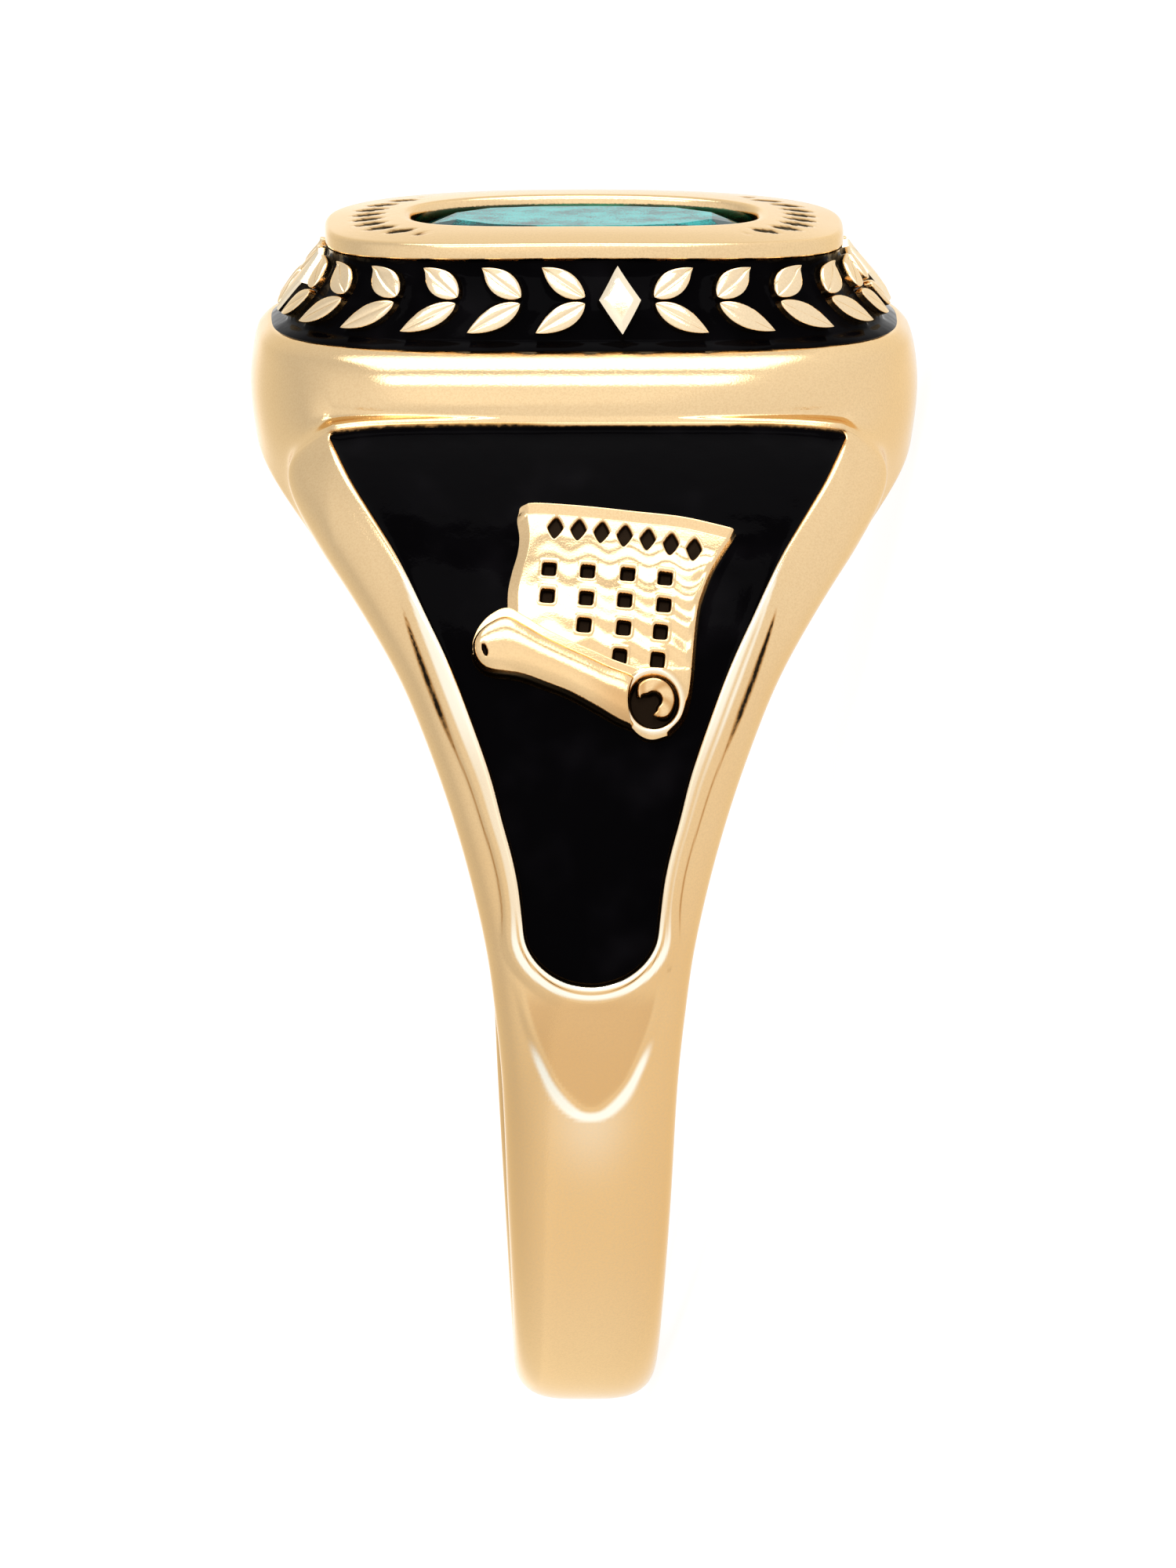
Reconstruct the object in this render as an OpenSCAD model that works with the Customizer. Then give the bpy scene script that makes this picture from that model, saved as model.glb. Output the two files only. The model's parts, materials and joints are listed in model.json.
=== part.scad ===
// A class ring lying on its side. Each shape is worked out in the ring's own frame:
// x across the finger, y towards the bezel and z along the finger. It is then tilted to rest on a table.
// The origin is the middle of the finger hole.

/* [Finger hole] */
// Radius of the finger hole
finger_r = 8.65; // [7.5:0.05:10.5]
// Rounding of the hole's two edges
hole_edge = 0.35; // [0.1:0.05:0.4]

/* [Shank] */
// Width of the shank under the finger
shank_w = 2.66; // [2.2:0.02:4.5]
// Thickness of the shank under the finger
shank_t = 1.5; // [1.2:0.05:2.2]
// Height of the flat side of the shank beside the hole
side_h = 0.72; // [0.4:0.02:0.9]

/* [Shoulders] */
// Thickness of the shoulders where they meet the head
shoulder_t = 2.6; // [2.2:0.05:3.2]
// Squareness of the shoulder's section, as an exponent
shoulder_square = 6; // [4:0.5:8]
// Squareness of the shank's section, as an exponent
shank_square = 3.6; // [3:0.2:6]

/* [Head] */
// Length of the bolster along the finger
bolster_l = 13.18; // [11:0.02:15]
// Depth of the bolster across the finger
bolster_d = 11.3; // [9.6:0.05:12.4]
// How far the bolster bulges past the shoulders
bolster_bulge = 0.06; // [0:0.01:0.2]
// Height of the bolster's top edge over the hole
bolster_top = 2.5; // [2.2:0.05:3]
// Squareness of the bolster's outline
bolster_square = 3.3; // [2.4:0.1:4]

/* [Band] */
// Height of the band between the bolster and the bezel plate
band_h = 1.72; // [1.4:0.02:2.4]
// Length of the band's ground at its foot
band_l = 11.72; // [10.4:0.02:12.2]
// Depth of the band's ground at its foot
band_d = 9.2; // [8:0.05:9.6]
// Height of the raised work over the ground
band_relief = 0.32; // [0.2:0.02:0.5]
// How far the raised work is moved along the band
band_shift = -0.6; // [-1:0.02:1]
// Thickness of the enamel in the band
band_fill = 0.13; // [0.08:0.01:0.16]

/* [Bezel] */
// Length of the bezel plate
plate_l = 10.16; // [9:0.02:10.6]
// Depth of the bezel plate
plate_d = 8.1; // [7:0.05:8.6]
// Thickness of the bezel plate at its edge
plate_t = 0.31; // [0.2:0.01:0.6]
// How far the plate's edge stands out over the top of the band's ground
plate_over = 0.18; // [0.05:0.01:0.3]
// Rise of the bezel from its edge to the stone
plate_rise = 0.12; // [0:0.01:0.3]
// Drop of the bezel's two ends
plate_drop = 0.14; // [0:0.01:0.3]
// Squareness of the bezel's outline
plate_square = 3; // [2:0.1:4]

/* [Stone] */
// Length of the opening over the stone
opening_l = 6.8; // [5.4:0.05:7.6]
// Depth of the opening over the stone
opening_d = 4.5; // [3.6:0.05:5.2]
// How far the girdle of the stone reaches under the lip
girdle_grip = 0.16; // [0.08:0.01:0.25]
// How deep the stone's table lies under the lip's edge
table_sink = 0.17; // [0.05:0.01:0.4]
// Height of the stone's crown
crown_h = 0.42; // [0.3:0.02:0.6]
// Depth of the stone under its girdle
pavilion_h = 1.7; // [1:0.05:2]
// Length of the stone's table
table_l = 5.1; // [3.5:0.05:5.4]
// Depth of the stone's table
table_d = 2.9; // [2:0.05:3.2]

/* [Panels] */
// Width of the gold rim beside a panel's top corners
rim_top_w = 1.49; // [1.2:0.01:2]
// Angle from the bezel to the lowest point of a panel
panel_tip_a = 93.3; // [80:0.1:96]
// Length of the panel's round end
panel_round = 1.15; // [0.7:0.05:1.5]
// Depth of the recess under the enamel
recess = 0.55; // [0.4:0.01:0.7]
// How far the enamel lies under the rim
enamel_sink = 0.14; // [0.05:0.01:0.25]
// Height of the tongue under each panel
tongue_h = 0.12; // [0.05:0.01:0.25]

/* [Scroll] */
// Angle from the bezel to the middle of the scroll
scroll_a = 55.1; // [48:0.1:58]
// Size of the scroll, where 1 is as designed
scroll_size = 1; // [0.8:0.01:1.05]
// Height of the sheet over the shoulder's face
sheet_h = 0.05; // [0:0.01:0.2]
// Height of the roll over the shoulder's face
roll_h = 0.3; // [0.1:0.01:0.45]
// Side of each small square pit
pit_w = 0.28; // [0.15:0.01:0.32]
// Depth of each small square pit
pit_h = 0.12; // [0.06:0.01:0.2]

/* [Raised work] */
// Length of a leaf
leaf_l = 1; // [0.7:0.02:1.1]
// Width of a leaf
leaf_w = 0.46; // [0.25:0.01:0.5]
// Distance between leaves along the band
leaf_step = 1.05; // [0.9:0.01:1.3]
// Width of the four diamonds of the band
diamond_w = 0.8; // [0.5:0.02:1]
// Height of the four diamonds
diamond_h = 1.3; // [0.9:0.02:1.4]

/* [Fit] */
// Gap between the gold and what is set in it
gap = 0.03; // [0.02:0.01:0.05]

/* [Hidden] */

GOLD = [0.87, 0.72, 0.46];
ENAMEL = [0.06, 0.05, 0.07];
STONE = [0.25, 0.62, 0.62];

// Height over the hole's middle as a share of its radius, and share of the width gained there
OUTLINE = [
    [-1.2, 0], [-0.9, 0.024], [-0.6, 0.05], [-0.3, 0.074], [-0.1, 0.109], [0, 0.133], [0.15, 0.188],
    [0.3, 0.259], [0.45, 0.348], [0.6, 0.457], [0.75, 0.611], [0.87, 0.757], [0.96, 0.88], [1.02, 0.957],
    [1.09, 1], [1.6, 1]
];

// Angle from the bezel and share of the thickness gained there
SHOULDERS = [
    [0, 1], [30, 1], [40, 0.86], [50, 0.74], [60, 0.59], [70, 0.42], [80, 0.3], [90, 0.23], [100, 0.17],
    [115, 0.1], [135, 0.04], [155, 0], [180, 0]
];

// Places across a section, as shares of its half width
ACROSS = [1, 0.975, 0.92, 0.83, 0.68, 0.4, 0, -0.4, -0.68, -0.83, -0.92, -0.975, -1];

// Height in the bolster and how much of the step in to the band is taken there
BOLSTER = [[0.08, 0.04], [0.28, 0], [0.55, 0.14], [0.8, 0.45], [1, 1]];

// Height in the band and how much of the step in to the plate is taken there
GROUND = [[0, 0], [0.42, 0.48], [0.8, 1], [0.96, 1]];

// Height in the plate's edge and how far it is rounded off there
PLATE = [[0, 0], [0.6, 0], [1, 0.14]];

// Share of a panel's length from its top, and share of its half width there
PANEL = [
    [0, 1], [0.105, 0.916], [0.184, 0.827], [0.268, 0.729], [0.371, 0.627], [0.456, 0.541], [0.553, 0.457],
    [0.645, 0.384], [0.719, 0.341], [0.777, 0.304], [0.834, 0.278], [1, 0.24]
];

// Outline of the scroll, across the finger hole and up towards the bezel, in millimetres
SCROLL = [
    [-1.64, 1.92], [-1.74, 1.34], [-1.85, 0.33], [-2.2, 0.2], [-2.56, -0.08], [-2.62, -0.62], [-2.35, -1.02],
    [-1.7, -1.24], [-0.7, -1.66], [0.48, -2.2], [0.97, -2.3], [1.4, -2.05], [1.62, -1.5], [1.73, -0.94],
    [1.79, -0.09], [2.14, 1.08], [2.55, 2.15], [0.5, 2.5], [-1.59, 2.76]
];
// The two ends of the roll and their radii
ROLL = [[-2.05, -0.42], [0.95, -1.68]];
ROLL_R = [0.58, 0.54];
// Middle of each row of pits and how many pits it has
PITS = [[0.06, 1.1, 4], [0, 0.55, 4], [0.38, 0, 3], [0.78, -0.58, 2]];
pit_step = 0.76;
pit_slope = -0.09;

band_steps = 56;
head_steps = 16;
section_n = len(ACROSS);
inside_n = 6;
under = 0.35;

shoulder_r = finger_r + shoulder_t;
head_a = asin((bolster_d / 2 - bolster_bulge) / shoulder_r);
side_r = finger_r + side_h;
bolster_foot = shoulder_r * cos(head_a);
bolster_z = finger_r + bolster_top;
plate_z = bolster_z + band_h;
lip_z = plate_z + plate_t + plate_rise;
table_z = lip_z - table_sink;
girdle_z = table_z - crown_h;
girdle_t = 0.1;
girdle_l = opening_l / 2 + girdle_grip;
girdle_d = opening_d / 2 + girdle_grip;
neck_l = plate_l / 2 - plate_over;
neck_d = plate_d / 2 - plate_over;
stone_square = 2.7;
panel_top_a = head_a + 0.45;
lip_t = 0.16;

function lerp(a, b, x) = a + (b - a) * x;

// Row of a table that x falls in
function row_of(table, x) =
    max([for (i = [0 : len(table) - 2]) table[i][0] <= x ? i : 0]);

// Smooth reading of a table, through every row
function smooth(table, x) =
    let (
        i = row_of(table, x),
        n = len(table) - 1,
        a = table[i],
        b = table[i + 1],
        before = table[max(i - 1, 0)],
        after = table[min(i + 2, n)],
        t = (x - a[0]) / (b[0] - a[0]),
        span = b[0] - a[0],
        slope_a = span * (b[1] - before[1]) / (b[0] - before[0]),
        slope_b = span * (after[1] - a[1]) / (after[0] - a[0])
    )
    (2 * t * t * t - 3 * t * t + 1) * a[1] + (t * t * t - 2 * t * t + t) * slope_a
    + (3 * t * t - 2 * t * t * t) * b[1] + (t * t * t - t * t) * slope_b;

// Angle from the bezel, between 0 and 180, whichever way round it is counted
function from_bezel(a) = abs(a > 180 ? a - 360 : a);
function thickening(a) = smooth(SHOULDERS, from_bezel(a));
function outer_r(a) = finger_r + lerp(shank_t, shoulder_t, thickening(a));
function square_of(a) = lerp(shank_square, shoulder_square, thickening(a));

// Half width along the finger at an angle and a radius
function half_width(a, r) = lerp(shank_w / 2, bolster_l / 2, smooth(OUTLINE, r * cos(a) / finger_r));

// Radius of a section's outside at an angle and a share of its half width
function outside_r(a, x) = side_r + (outer_r(a) - side_r) * pow(1 - pow(abs(x), square_of(a)), 1 / 2.2);

// Radius of the shoulder's face at an angle and a place along the finger
function face_r(a, z) =
    outside_r(a, min(abs(z) / half_width(a, outer_r(a)), 1));

function around(a, r, z) = [r * sin(a), r * cos(a), z];

// One closed section of the shank: over its face, then round the inside of the hole
function section(a) =
    let (
        edge = finger_r + hole_edge,
        b = half_width(a, edge),
        soft = hole_edge * 0.3,
        inside = [
            [edge, -b], [finger_r + soft, -b + soft], [finger_r - under, -b + hole_edge + under],
            [finger_r - under, b - hole_edge - under], [finger_r + soft, b - soft], [edge, b]
        ]
    )
    concat(
        [for (x = ACROSS) let (r = outside_r(a, x)) around(a, r, half_width(a, r) * x)],
        [for (p = inside) around(a, p[0], p[1])]
    );

// A point of the head's side, beside the hole
function side_point(a, way) = around(a, side_r, way * half_width(a, side_r));

// The part of a section that lies under the head: the hole's inside and its two sides
function low_section(a) =
    let (whole = section(a))
    concat(
        [side_point(a, -1)],
        [for (i = [section_n : section_n + inside_n - 1]) whole[i]],
        [side_point(a, 1)]
    );

// Half length from the middle of an oval with squared corners to its edge, at an angle
function reach(l, d, square, a) =
    pow(pow(abs(cos(a)) / l, square) + pow(abs(sin(a)) / d, square), -1 / square);

// Point of a level ring round the head, lower towards the two ends
function ring_point(l, d, square, z, drop, a) =
    let (r = reach(l, d, square, a), along = r * cos(a))
    [r * sin(a), z - drop * pow(along / (plate_l / 2), 2), along];

// Size, squareness, height and drop of the ring round the band at a share of its height, out from its ground
function band_ring(h, out) =
    let (step = lookup(h, GROUND))
    [
        lerp(band_l / 2, neck_l, step) + out, lerp(band_d / 2, neck_d, step) + out,
        lerp(3, plate_square, h), bolster_z + band_h * h + out * 0.35, plate_drop * h
    ];

function ring(r, a) = ring_point(r[0], r[1], r[2], r[3], r[4], a);

// The rings of the head from the bolster to the bottom of the stone's seat:
// half length, half depth, squareness, height and drop of the ends
HEAD = concat(
    [for (r = BOLSTER) [
        lerp(bolster_l / 2, band_l / 2 + band_relief, r[1]),
        lerp(bolster_d / 2, band_d / 2 + band_relief, r[1]),
        bolster_square, lerp(bolster_foot, bolster_z, r[0]), 0
    ]],
    [for (r = GROUND) band_ring(r[0], 0)],
    [for (r = PLATE) [
        plate_l / 2 - r[1], plate_d / 2 - r[1], plate_square, plate_z + plate_t * r[0], plate_drop
    ]],
    [
        [opening_l / 2 + 0.08, opening_d / 2 + 0.08, stone_square, lip_z - 0.01, plate_drop],
        [opening_l / 2, opening_d / 2, stone_square, lip_z - 0.05, plate_drop],
        [opening_l / 2 - 0.03, opening_d / 2 - 0.03, stone_square, lip_z - table_sink - lip_t, 0],
        [girdle_l + gap, girdle_d + gap, stone_square, girdle_z + gap, 0],
        [girdle_l + gap, girdle_d + gap, stone_square, girdle_z - girdle_t - gap, 0],
        [girdle_l * 0.5 + gap, girdle_d * 0.5 + gap, stone_square, girdle_z - girdle_t - pavilion_h * 0.5 - gap, 0],
        [girdle_l * 0.3, girdle_d * 0.3, stone_square, girdle_z - girdle_t - pavilion_h - gap, 0]
    ]
);

function sector_angle(i) = lerp(head_a, 360 - head_a, i / band_steps);
function head_angle(j) = lerp(-head_a, head_a, j / head_steps);

// The loop where the head stands on the shoulders, counted round the head
FOOT = concat(
    [for (p = [0 : section_n - 1]) section(head_a)[p]],
    [for (j = [head_steps - 1 : -1 : 1]) side_point(head_angle(j), -1)],
    [for (p = [section_n - 1 : -1 : 0]) section(360 - head_a)[p]],
    [for (j = [1 : head_steps - 1]) side_point(head_angle(j), 1)]
);
foot_n = len(FOOT);
FOOT_ANGLE = [for (p = FOOT) atan2(p[0], p[2])];

// The gold skin of the ring, before the hole is bored
module skin() {
    whole_n = section_n + inside_n;
    low_n = inside_n + 2;
    low_at = (band_steps + 1) * whole_n;
    ring_at = low_at + (head_steps - 1) * low_n;
    points = concat(
        [for (i = [0 : band_steps]) each section(sector_angle(i))],
        [for (j = [1 : head_steps - 1]) each low_section(head_angle(j))],
        [for (r = HEAD) each [for (a = FOOT_ANGLE) ring(r, a)]],
        [[0, HEAD[len(HEAD) - 1][3], 0]]
    );
    last = len(points) - 1;

    // Index of a point of the low part of a section, from one side of the hole to the other
    function low(j, k) =
        j == 0 ? band_steps * whole_n + (k == low_n - 1 ? 0 : section_n - 1 + k)
        : j == head_steps ? (k == low_n - 1 ? 0 : section_n - 1 + k)
        : low_at + (j - 1) * low_n + k;

    // Index of a point of the loop where the head stands
    function foot(m) =
        let (i = m % foot_n)
        i < section_n ? i
        : i < section_n + head_steps - 1 ? low(head_steps - 1 - (i - section_n), 0)
        : i < 2 * section_n + head_steps - 1
            ? band_steps * whole_n + section_n - 1 - (i - section_n - head_steps + 1)
        : low(i - 2 * section_n - head_steps + 2, low_n - 1);
    function on_ring(level, m) =
        level < 0 ? foot(m) : ring_at + level * foot_n + m % foot_n;

    faces = concat(
        [for (i = [0 : band_steps - 1]) for (k = [0 : whole_n - 1]) each quad(
            i * whole_n + k, i * whole_n + (k + 1) % whole_n,
            (i + 1) * whole_n + (k + 1) % whole_n, (i + 1) * whole_n + k
        )],
        [for (j = [0 : head_steps - 1]) for (k = [0 : low_n - 2]) each quad(
            low(j, k), low(j, k + 1), low(j + 1, k + 1), low(j + 1, k)
        )],
        [for (level = [-1 : len(HEAD) - 2]) for (m = [0 : foot_n - 1]) each quad(
            on_ring(level, m), on_ring(level + 1, m), on_ring(level + 1, m + 1), on_ring(level, m + 1)
        )],
        [for (m = [0 : foot_n - 1]) [on_ring(len(HEAD) - 1, m), last, on_ring(len(HEAD) - 1, m + 1)]]
    );
    polyhedron(points, faces);
}

function quad(a, b, c, d) = [[a, b, c], [a, c, d]];

// A solid between two grids of points, each a list of rows. A closed one goes round, back to its first column.
module between(top, bottom, closed = false) {
    rows = len(top);
    cols = len(top[0]);
    steps = closed ? cols : cols - 1;
    function at(side, i, j) = side * rows * cols + i * cols + j % cols;
    faces = concat(
        [for (i = [0 : rows - 2]) for (j = [0 : steps - 1]) each concat(
            quad(at(0, i, j), at(0, i, j + 1), at(0, i + 1, j + 1), at(0, i + 1, j)),
            quad(at(1, i, j), at(1, i + 1, j), at(1, i + 1, j + 1), at(1, i, j + 1))
        )],
        [for (j = [0 : steps - 1]) each concat(
            quad(at(0, 0, j), at(1, 0, j), at(1, 0, j + 1), at(0, 0, j + 1)),
            quad(
                at(0, rows - 1, j), at(0, rows - 1, j + 1), at(1, rows - 1, j + 1), at(1, rows - 1, j)
            )
        )],
        closed ? [] : [for (i = [0 : rows - 2]) each concat(
            quad(at(0, i, 0), at(0, i + 1, 0), at(1, i + 1, 0), at(1, i, 0)),
            quad(
                at(0, i, cols - 1), at(1, i, cols - 1), at(1, i + 1, cols - 1), at(0, i + 1, cols - 1)
            )
        )]
    );
    polyhedron(concat([for (r = top) each r], [for (r = bottom) each r]), faces);
}

// A solid between two loops of points, each closed to a middle point of its own
module cushion(top, top_middle, bottom, bottom_middle) {
    n = len(top);
    faces = concat(
        [for (i = [0 : n - 1]) [i, 2 * n, (i + 1) % n]],
        [for (i = [0 : n - 1]) [n + i, n + (i + 1) % n, 2 * n + 1]],
        [for (i = [0 : n - 1]) each quad(i, (i + 1) % n, n + (i + 1) % n, n + i)]
    );
    polyhedron(concat(top, bottom, [top_middle, bottom_middle]), faces);
}

// Half width of a panel, narrowing in a round end at its tip
panel_round_a = panel_round / shoulder_r * 180 / PI;
function panel_half(a, grow) =
    let (x = max(0, (a - panel_tip_a + panel_round_a) / panel_round_a))
    (bolster_l / 2 - rim_top_w) * lookup((a - panel_top_a) / (panel_tip_a - panel_top_a), PANEL)
    * sqrt(max(0, 1 - x * x)) + grow;

PANEL_ANGLES = concat(
    [for (i = [0 : 12]) lerp(panel_top_a, panel_tip_a - panel_round_a, i / 12)],
    [for (i = [1 : 5]) panel_tip_a - panel_round_a + panel_round_a * sin(16 * i)]
);
PANEL_ACROSS = [1, 0.6, 0, -0.6, -1];

// The panel between two depths under the shoulder's face, grown on all sides
module panel_slab(over, below, grow) {
    last = len(PANEL_ANGLES) - 1;
    function row(i, depth) =
        [for (x = PANEL_ACROSS)
            let (
                a = PANEL_ANGLES[i],
                z = x * panel_half(a, grow),
                outwards = i == 0 ? -1 : i == last ? 1 : 0
            )
            around(a + outwards * grow / shoulder_r * 180 / PI, face_r(a, z) - depth, z)
        ];
    between([for (i = [0 : last]) row(i, over)], [for (i = [0 : last]) row(i, below)]);
}

// A point of the scroll, given across the finger hole and up towards the bezel
function scroll_point(p, depth) =
    let (
        a = scroll_a - p[1] * scroll_size / shoulder_r * 180 / PI,
        z = -p[0] * scroll_size
    )
    around(a, face_r(a, z) - depth, z);

scroll_shift = 0.35;
function grown(p, grow) =
    let (far = norm(p))
    [p[0] * (1 + grow / far) + scroll_shift, p[1] * (1 + grow / far)];

module scroll_plate(over, below, grow) {
    cushion(
        [for (p = SCROLL) scroll_point(grown(p, grow), over)], scroll_point([scroll_shift, 0], over),
        [for (p = SCROLL) scroll_point(grown(p, grow), below)], scroll_point([scroll_shift, 0], below)
    );
}

module roll() {
    hull() {
        for (i = [0, 1])
            translate(scroll_point(ROLL[i] + [scroll_shift, 0], ROLL_R[i] * scroll_size - roll_h))
                sphere(ROLL_R[i] * scroll_size, $fn = 12);
    }
}

module pits() {
    for (r = PITS)
        for (i = [0 : r[2] - 1]) {
            across = (i - (r[2] - 1) / 2) * pit_step;
            p = [r[0] + across + scroll_shift, r[1] + across * pit_slope];
            a = scroll_a - p[1] * scroll_size / shoulder_r * 180 / PI;
            translate(scroll_point(p, -sheet_h))
                rotate([0, 0, -a])
                cube([pit_w, pit_h * 2, pit_w], center = true);
        }
}

module scroll() {
    difference() {
        scroll_plate(-sheet_h, recess + 0.2, 0);
        pits();
    }
    roll();
}

// The small tongue that runs out of the rim under a panel
module tongue() {
    foot_a = panel_tip_a + 16;
    outline = [
        [panel_tip_a - 3, 1.55], [panel_tip_a + 4, 1.4], [panel_tip_a + 9, 1.05], [foot_a - 2, 0.6],
        [foot_a, 0], [foot_a - 2, -0.6], [panel_tip_a + 9, -1.05], [panel_tip_a + 4, -1.4],
        [panel_tip_a - 3, -1.55], [panel_tip_a + 1, 0]
    ];
    inset = 0.1;
    function top_of(p) =
        let (z = p[1] * (1 - inset), a = p[0] - (p[0] > panel_tip_a + 5 ? 0.6 : 0))
        around(a, face_r(a, z) + tongue_h, z);
    function low_of(p) = around(p[0], face_r(p[0], p[1]) - 0.3, p[1]);
    middle = [panel_tip_a + 6, 0];
    cushion(
        [for (p = outline) top_of(p)], top_of(middle), [for (p = outline) low_of(p)], low_of(middle)
    );
}

// Distance along the middle of the band for each angle round the head
BAND_ALONG = [
    for (
        i = 0, s = 0;
        i <= 72;
        s = s + norm(ring(band_ring(0.5, 0), 90 - 5 * i) - ring(band_ring(0.5, 0), 85 - 5 * i)),
        i = i + 1
    ) [s, 90 - 5 * i]
];
band_length = BAND_ALONG[72][0];

// A point of the band: along it from the middle of the near side, up it, and out from its ground
function band_point(along, up, out) =
    ring(
        band_ring(0.5 + up / band_h, out),
        lookup((along + band_shift + band_length) % band_length, BAND_ALONG)
    );

// A raised piece of the band from its outline and its middle
module raised(outline, middle, out, ridge) {
    cushion(
        [for (p = outline) band_point(p[0], p[1], out)], band_point(middle[0], middle[1], out + ridge),
        [for (p = outline) band_point(p[0], p[1], -0.15)], band_point(middle[0], middle[1], -0.15)
    );
}

function leaf_outline(at, turn, grow) = [
    for (p = [[0, 0], [0.3, 0.5], [0.66, 0.42], [1, 0], [0.66, -0.42], [0.3, -0.5]])
        let (
            x = p[0] * leaf_l + (p[0] - 0.5) * 2 * grow,
            y = p[1] * (leaf_w + 2 * grow)
        )
        [at[0] + x * cos(turn) - y * sin(turn), at[1] + x * sin(turn) + y * cos(turn)]
];

// Pairs of leaves that run both ways from the diamond at the middle of each side
leaf_turn = 33;
module sprays(out, ridge, grow) {
    quarter = band_length / 4;
    first = diamond_w / 2 + 0.24;
    run = quarter - 2 * first - leaf_l * cos(leaf_turn);
    pairs = floor(run / leaf_step);
    for (side = [0, 2 * quarter])
        for (way = [1, -1])
            for (i = [0 : pairs])
                for (up = [1, -1]) {
                    start = [side + way * (first + i * run / pairs), up * 0.06];
                    turn = way > 0 ? up * leaf_turn : 180 - up * leaf_turn;
                    middle = start + leaf_l / 2 * [cos(turn), sin(turn)];
                    raised(leaf_outline(start, turn, grow), middle, out, ridge);
                }
}

module diamonds(out, ridge, grow) {
    w = diamond_w / 2 + grow;
    h = diamond_h / 2 + grow;
    for (i = [0 : 3])
        let (along = i * band_length / 4)
        raised(
            [[along + w, 0], [along, -h], [along - w, 0], [along, h]], [along, 0], out, ridge
        );
}

// The near shoulder, and the far one turned half round
module each_side() {
    for (turn = [0, 180])
        rotate([0, turn, 0])
            children();
}

module gold_before_boring() {
    difference() {
        skin();
        each_side()
            panel_slab(-1, recess, 0);
    }
    each_side() {
        scroll();
        tongue();
    }
    sprays(band_relief, 0.05, 0);
    diamonds(band_relief, 0.04, 0);
}

module ring_body() {
    color(GOLD)
        difference() {
            resize([0, 0, 0])
                gold_before_boring();
            cylinder(r = finger_r, h = bolster_l + 2, center = true, $fn = 96);
        }
}

// Tilt at which the head's end and the shank's edge both touch the table
function lowest(points, tilt) = min([for (p = points) p[1] * sin(tilt) + p[2] * cos(tilt)]);
HEAD_SIDE = concat(
    [for (r = HEAD) [0, r[3] - r[4], -r[0]]],
    [for (j = [0 : head_steps]) side_point(head_angle(j), -1)]
);
SHANK_SIDE = section(180);
function rest_tilt(low, high, tries) =
    let (mid = (low + high) / 2)
    tries == 0 ? mid
    : lowest(HEAD_SIDE, mid) < lowest(SHANK_SIDE, mid) ? rest_tilt(mid, high, tries - 1)
    : rest_tilt(low, mid, tries - 1);

// The faceted stone: a table, a crown and a pavilion of straight facets
module stone() {
    function oval(l, d, z, first, step) =
        [for (i = [0 : 360 / step - 1]) ring_point(l, d, stone_square, z, 0, first + i * step)];
    top_z = girdle_z;
    low_z = girdle_z - girdle_t;
    points = concat(
        oval(table_l / 2, table_d / 2, table_z, 22.5, 45),
        oval(lerp(table_l / 2, girdle_l, 0.55), lerp(table_d / 2, girdle_d, 0.55),
            lerp(table_z, girdle_z, 0.45), 0, 45),
        oval(girdle_l, girdle_d, top_z, 11.25, 22.5),
        oval(girdle_l, girdle_d, low_z, 11.25, 22.5),
        oval(girdle_l * 0.5, girdle_d * 0.5, low_z - pavilion_h * 0.5, 0, 45),
        [[0, low_z - pavilion_h, 0]]
    );
    function girdle(i) = 16 + i % 16;
    faces = concat(
        [[7, 6, 5, 4, 3, 2, 1, 0]],
        [for (i = [0 : 7]) let (next = (i + 1) % 8) each [
            [i, next, 8 + next],
            [i, girdle(2 * i), 8 + i],
            [i, girdle(2 * i + 1), girdle(2 * i)],
            [i, 8 + next, girdle(2 * i + 1)],
            [8 + i, girdle(2 * i), girdle(2 * i + 15)]
        ]],
        [for (i = [0 : 15]) each quad(16 + i, 16 + (i + 1) % 16, 32 + (i + 1) % 16, 32 + i)],
        [for (i = [0 : 7]) let (next = (i + 1) % 8) each [
            [48 + i, 32 + (2 * i + 15) % 16, 32 + 2 * i],
            [48 + i, 32 + 2 * i, 48 + next],
            [48 + next, 32 + 2 * i, 32 + 2 * i + 1],
            [48 + i, 48 + next, 56]
        ]]
    );
    color(STONE)
        polyhedron(points, faces);
}

module band_enamel() {
    heights = [0.03, 0.42, 0.8, 0.92];
    function shell(out) =
        [for (h = heights) [for (i = [foot_n - 1 : -1 : 0]) ring(band_ring(h, out), FOOT_ANGLE[i])]];
    color(ENAMEL)
        difference() {
            between(shell(band_fill), shell(gap), true);
            sprays(band_relief, 0.2, gap);
            diamonds(band_relief, 0.2, gap);
        }
}

module panel_enamel() {
    color(ENAMEL)
        difference() {
            panel_slab(enamel_sink, recess - gap, -gap);
            scroll_plate(-1, recess + 0.2, gap);
        }
}

module at_rest() {
    rotate([rest_tilt(0, 45, 24), 0, 0])
        children();
}

at_rest() ring_body();
at_rest() stone();
at_rest() band_enamel();
at_rest() panel_enamel();  // panel_enamel_near
at_rest() rotate([0, 180, 0]) panel_enamel();  // panel_enamel_far
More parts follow.
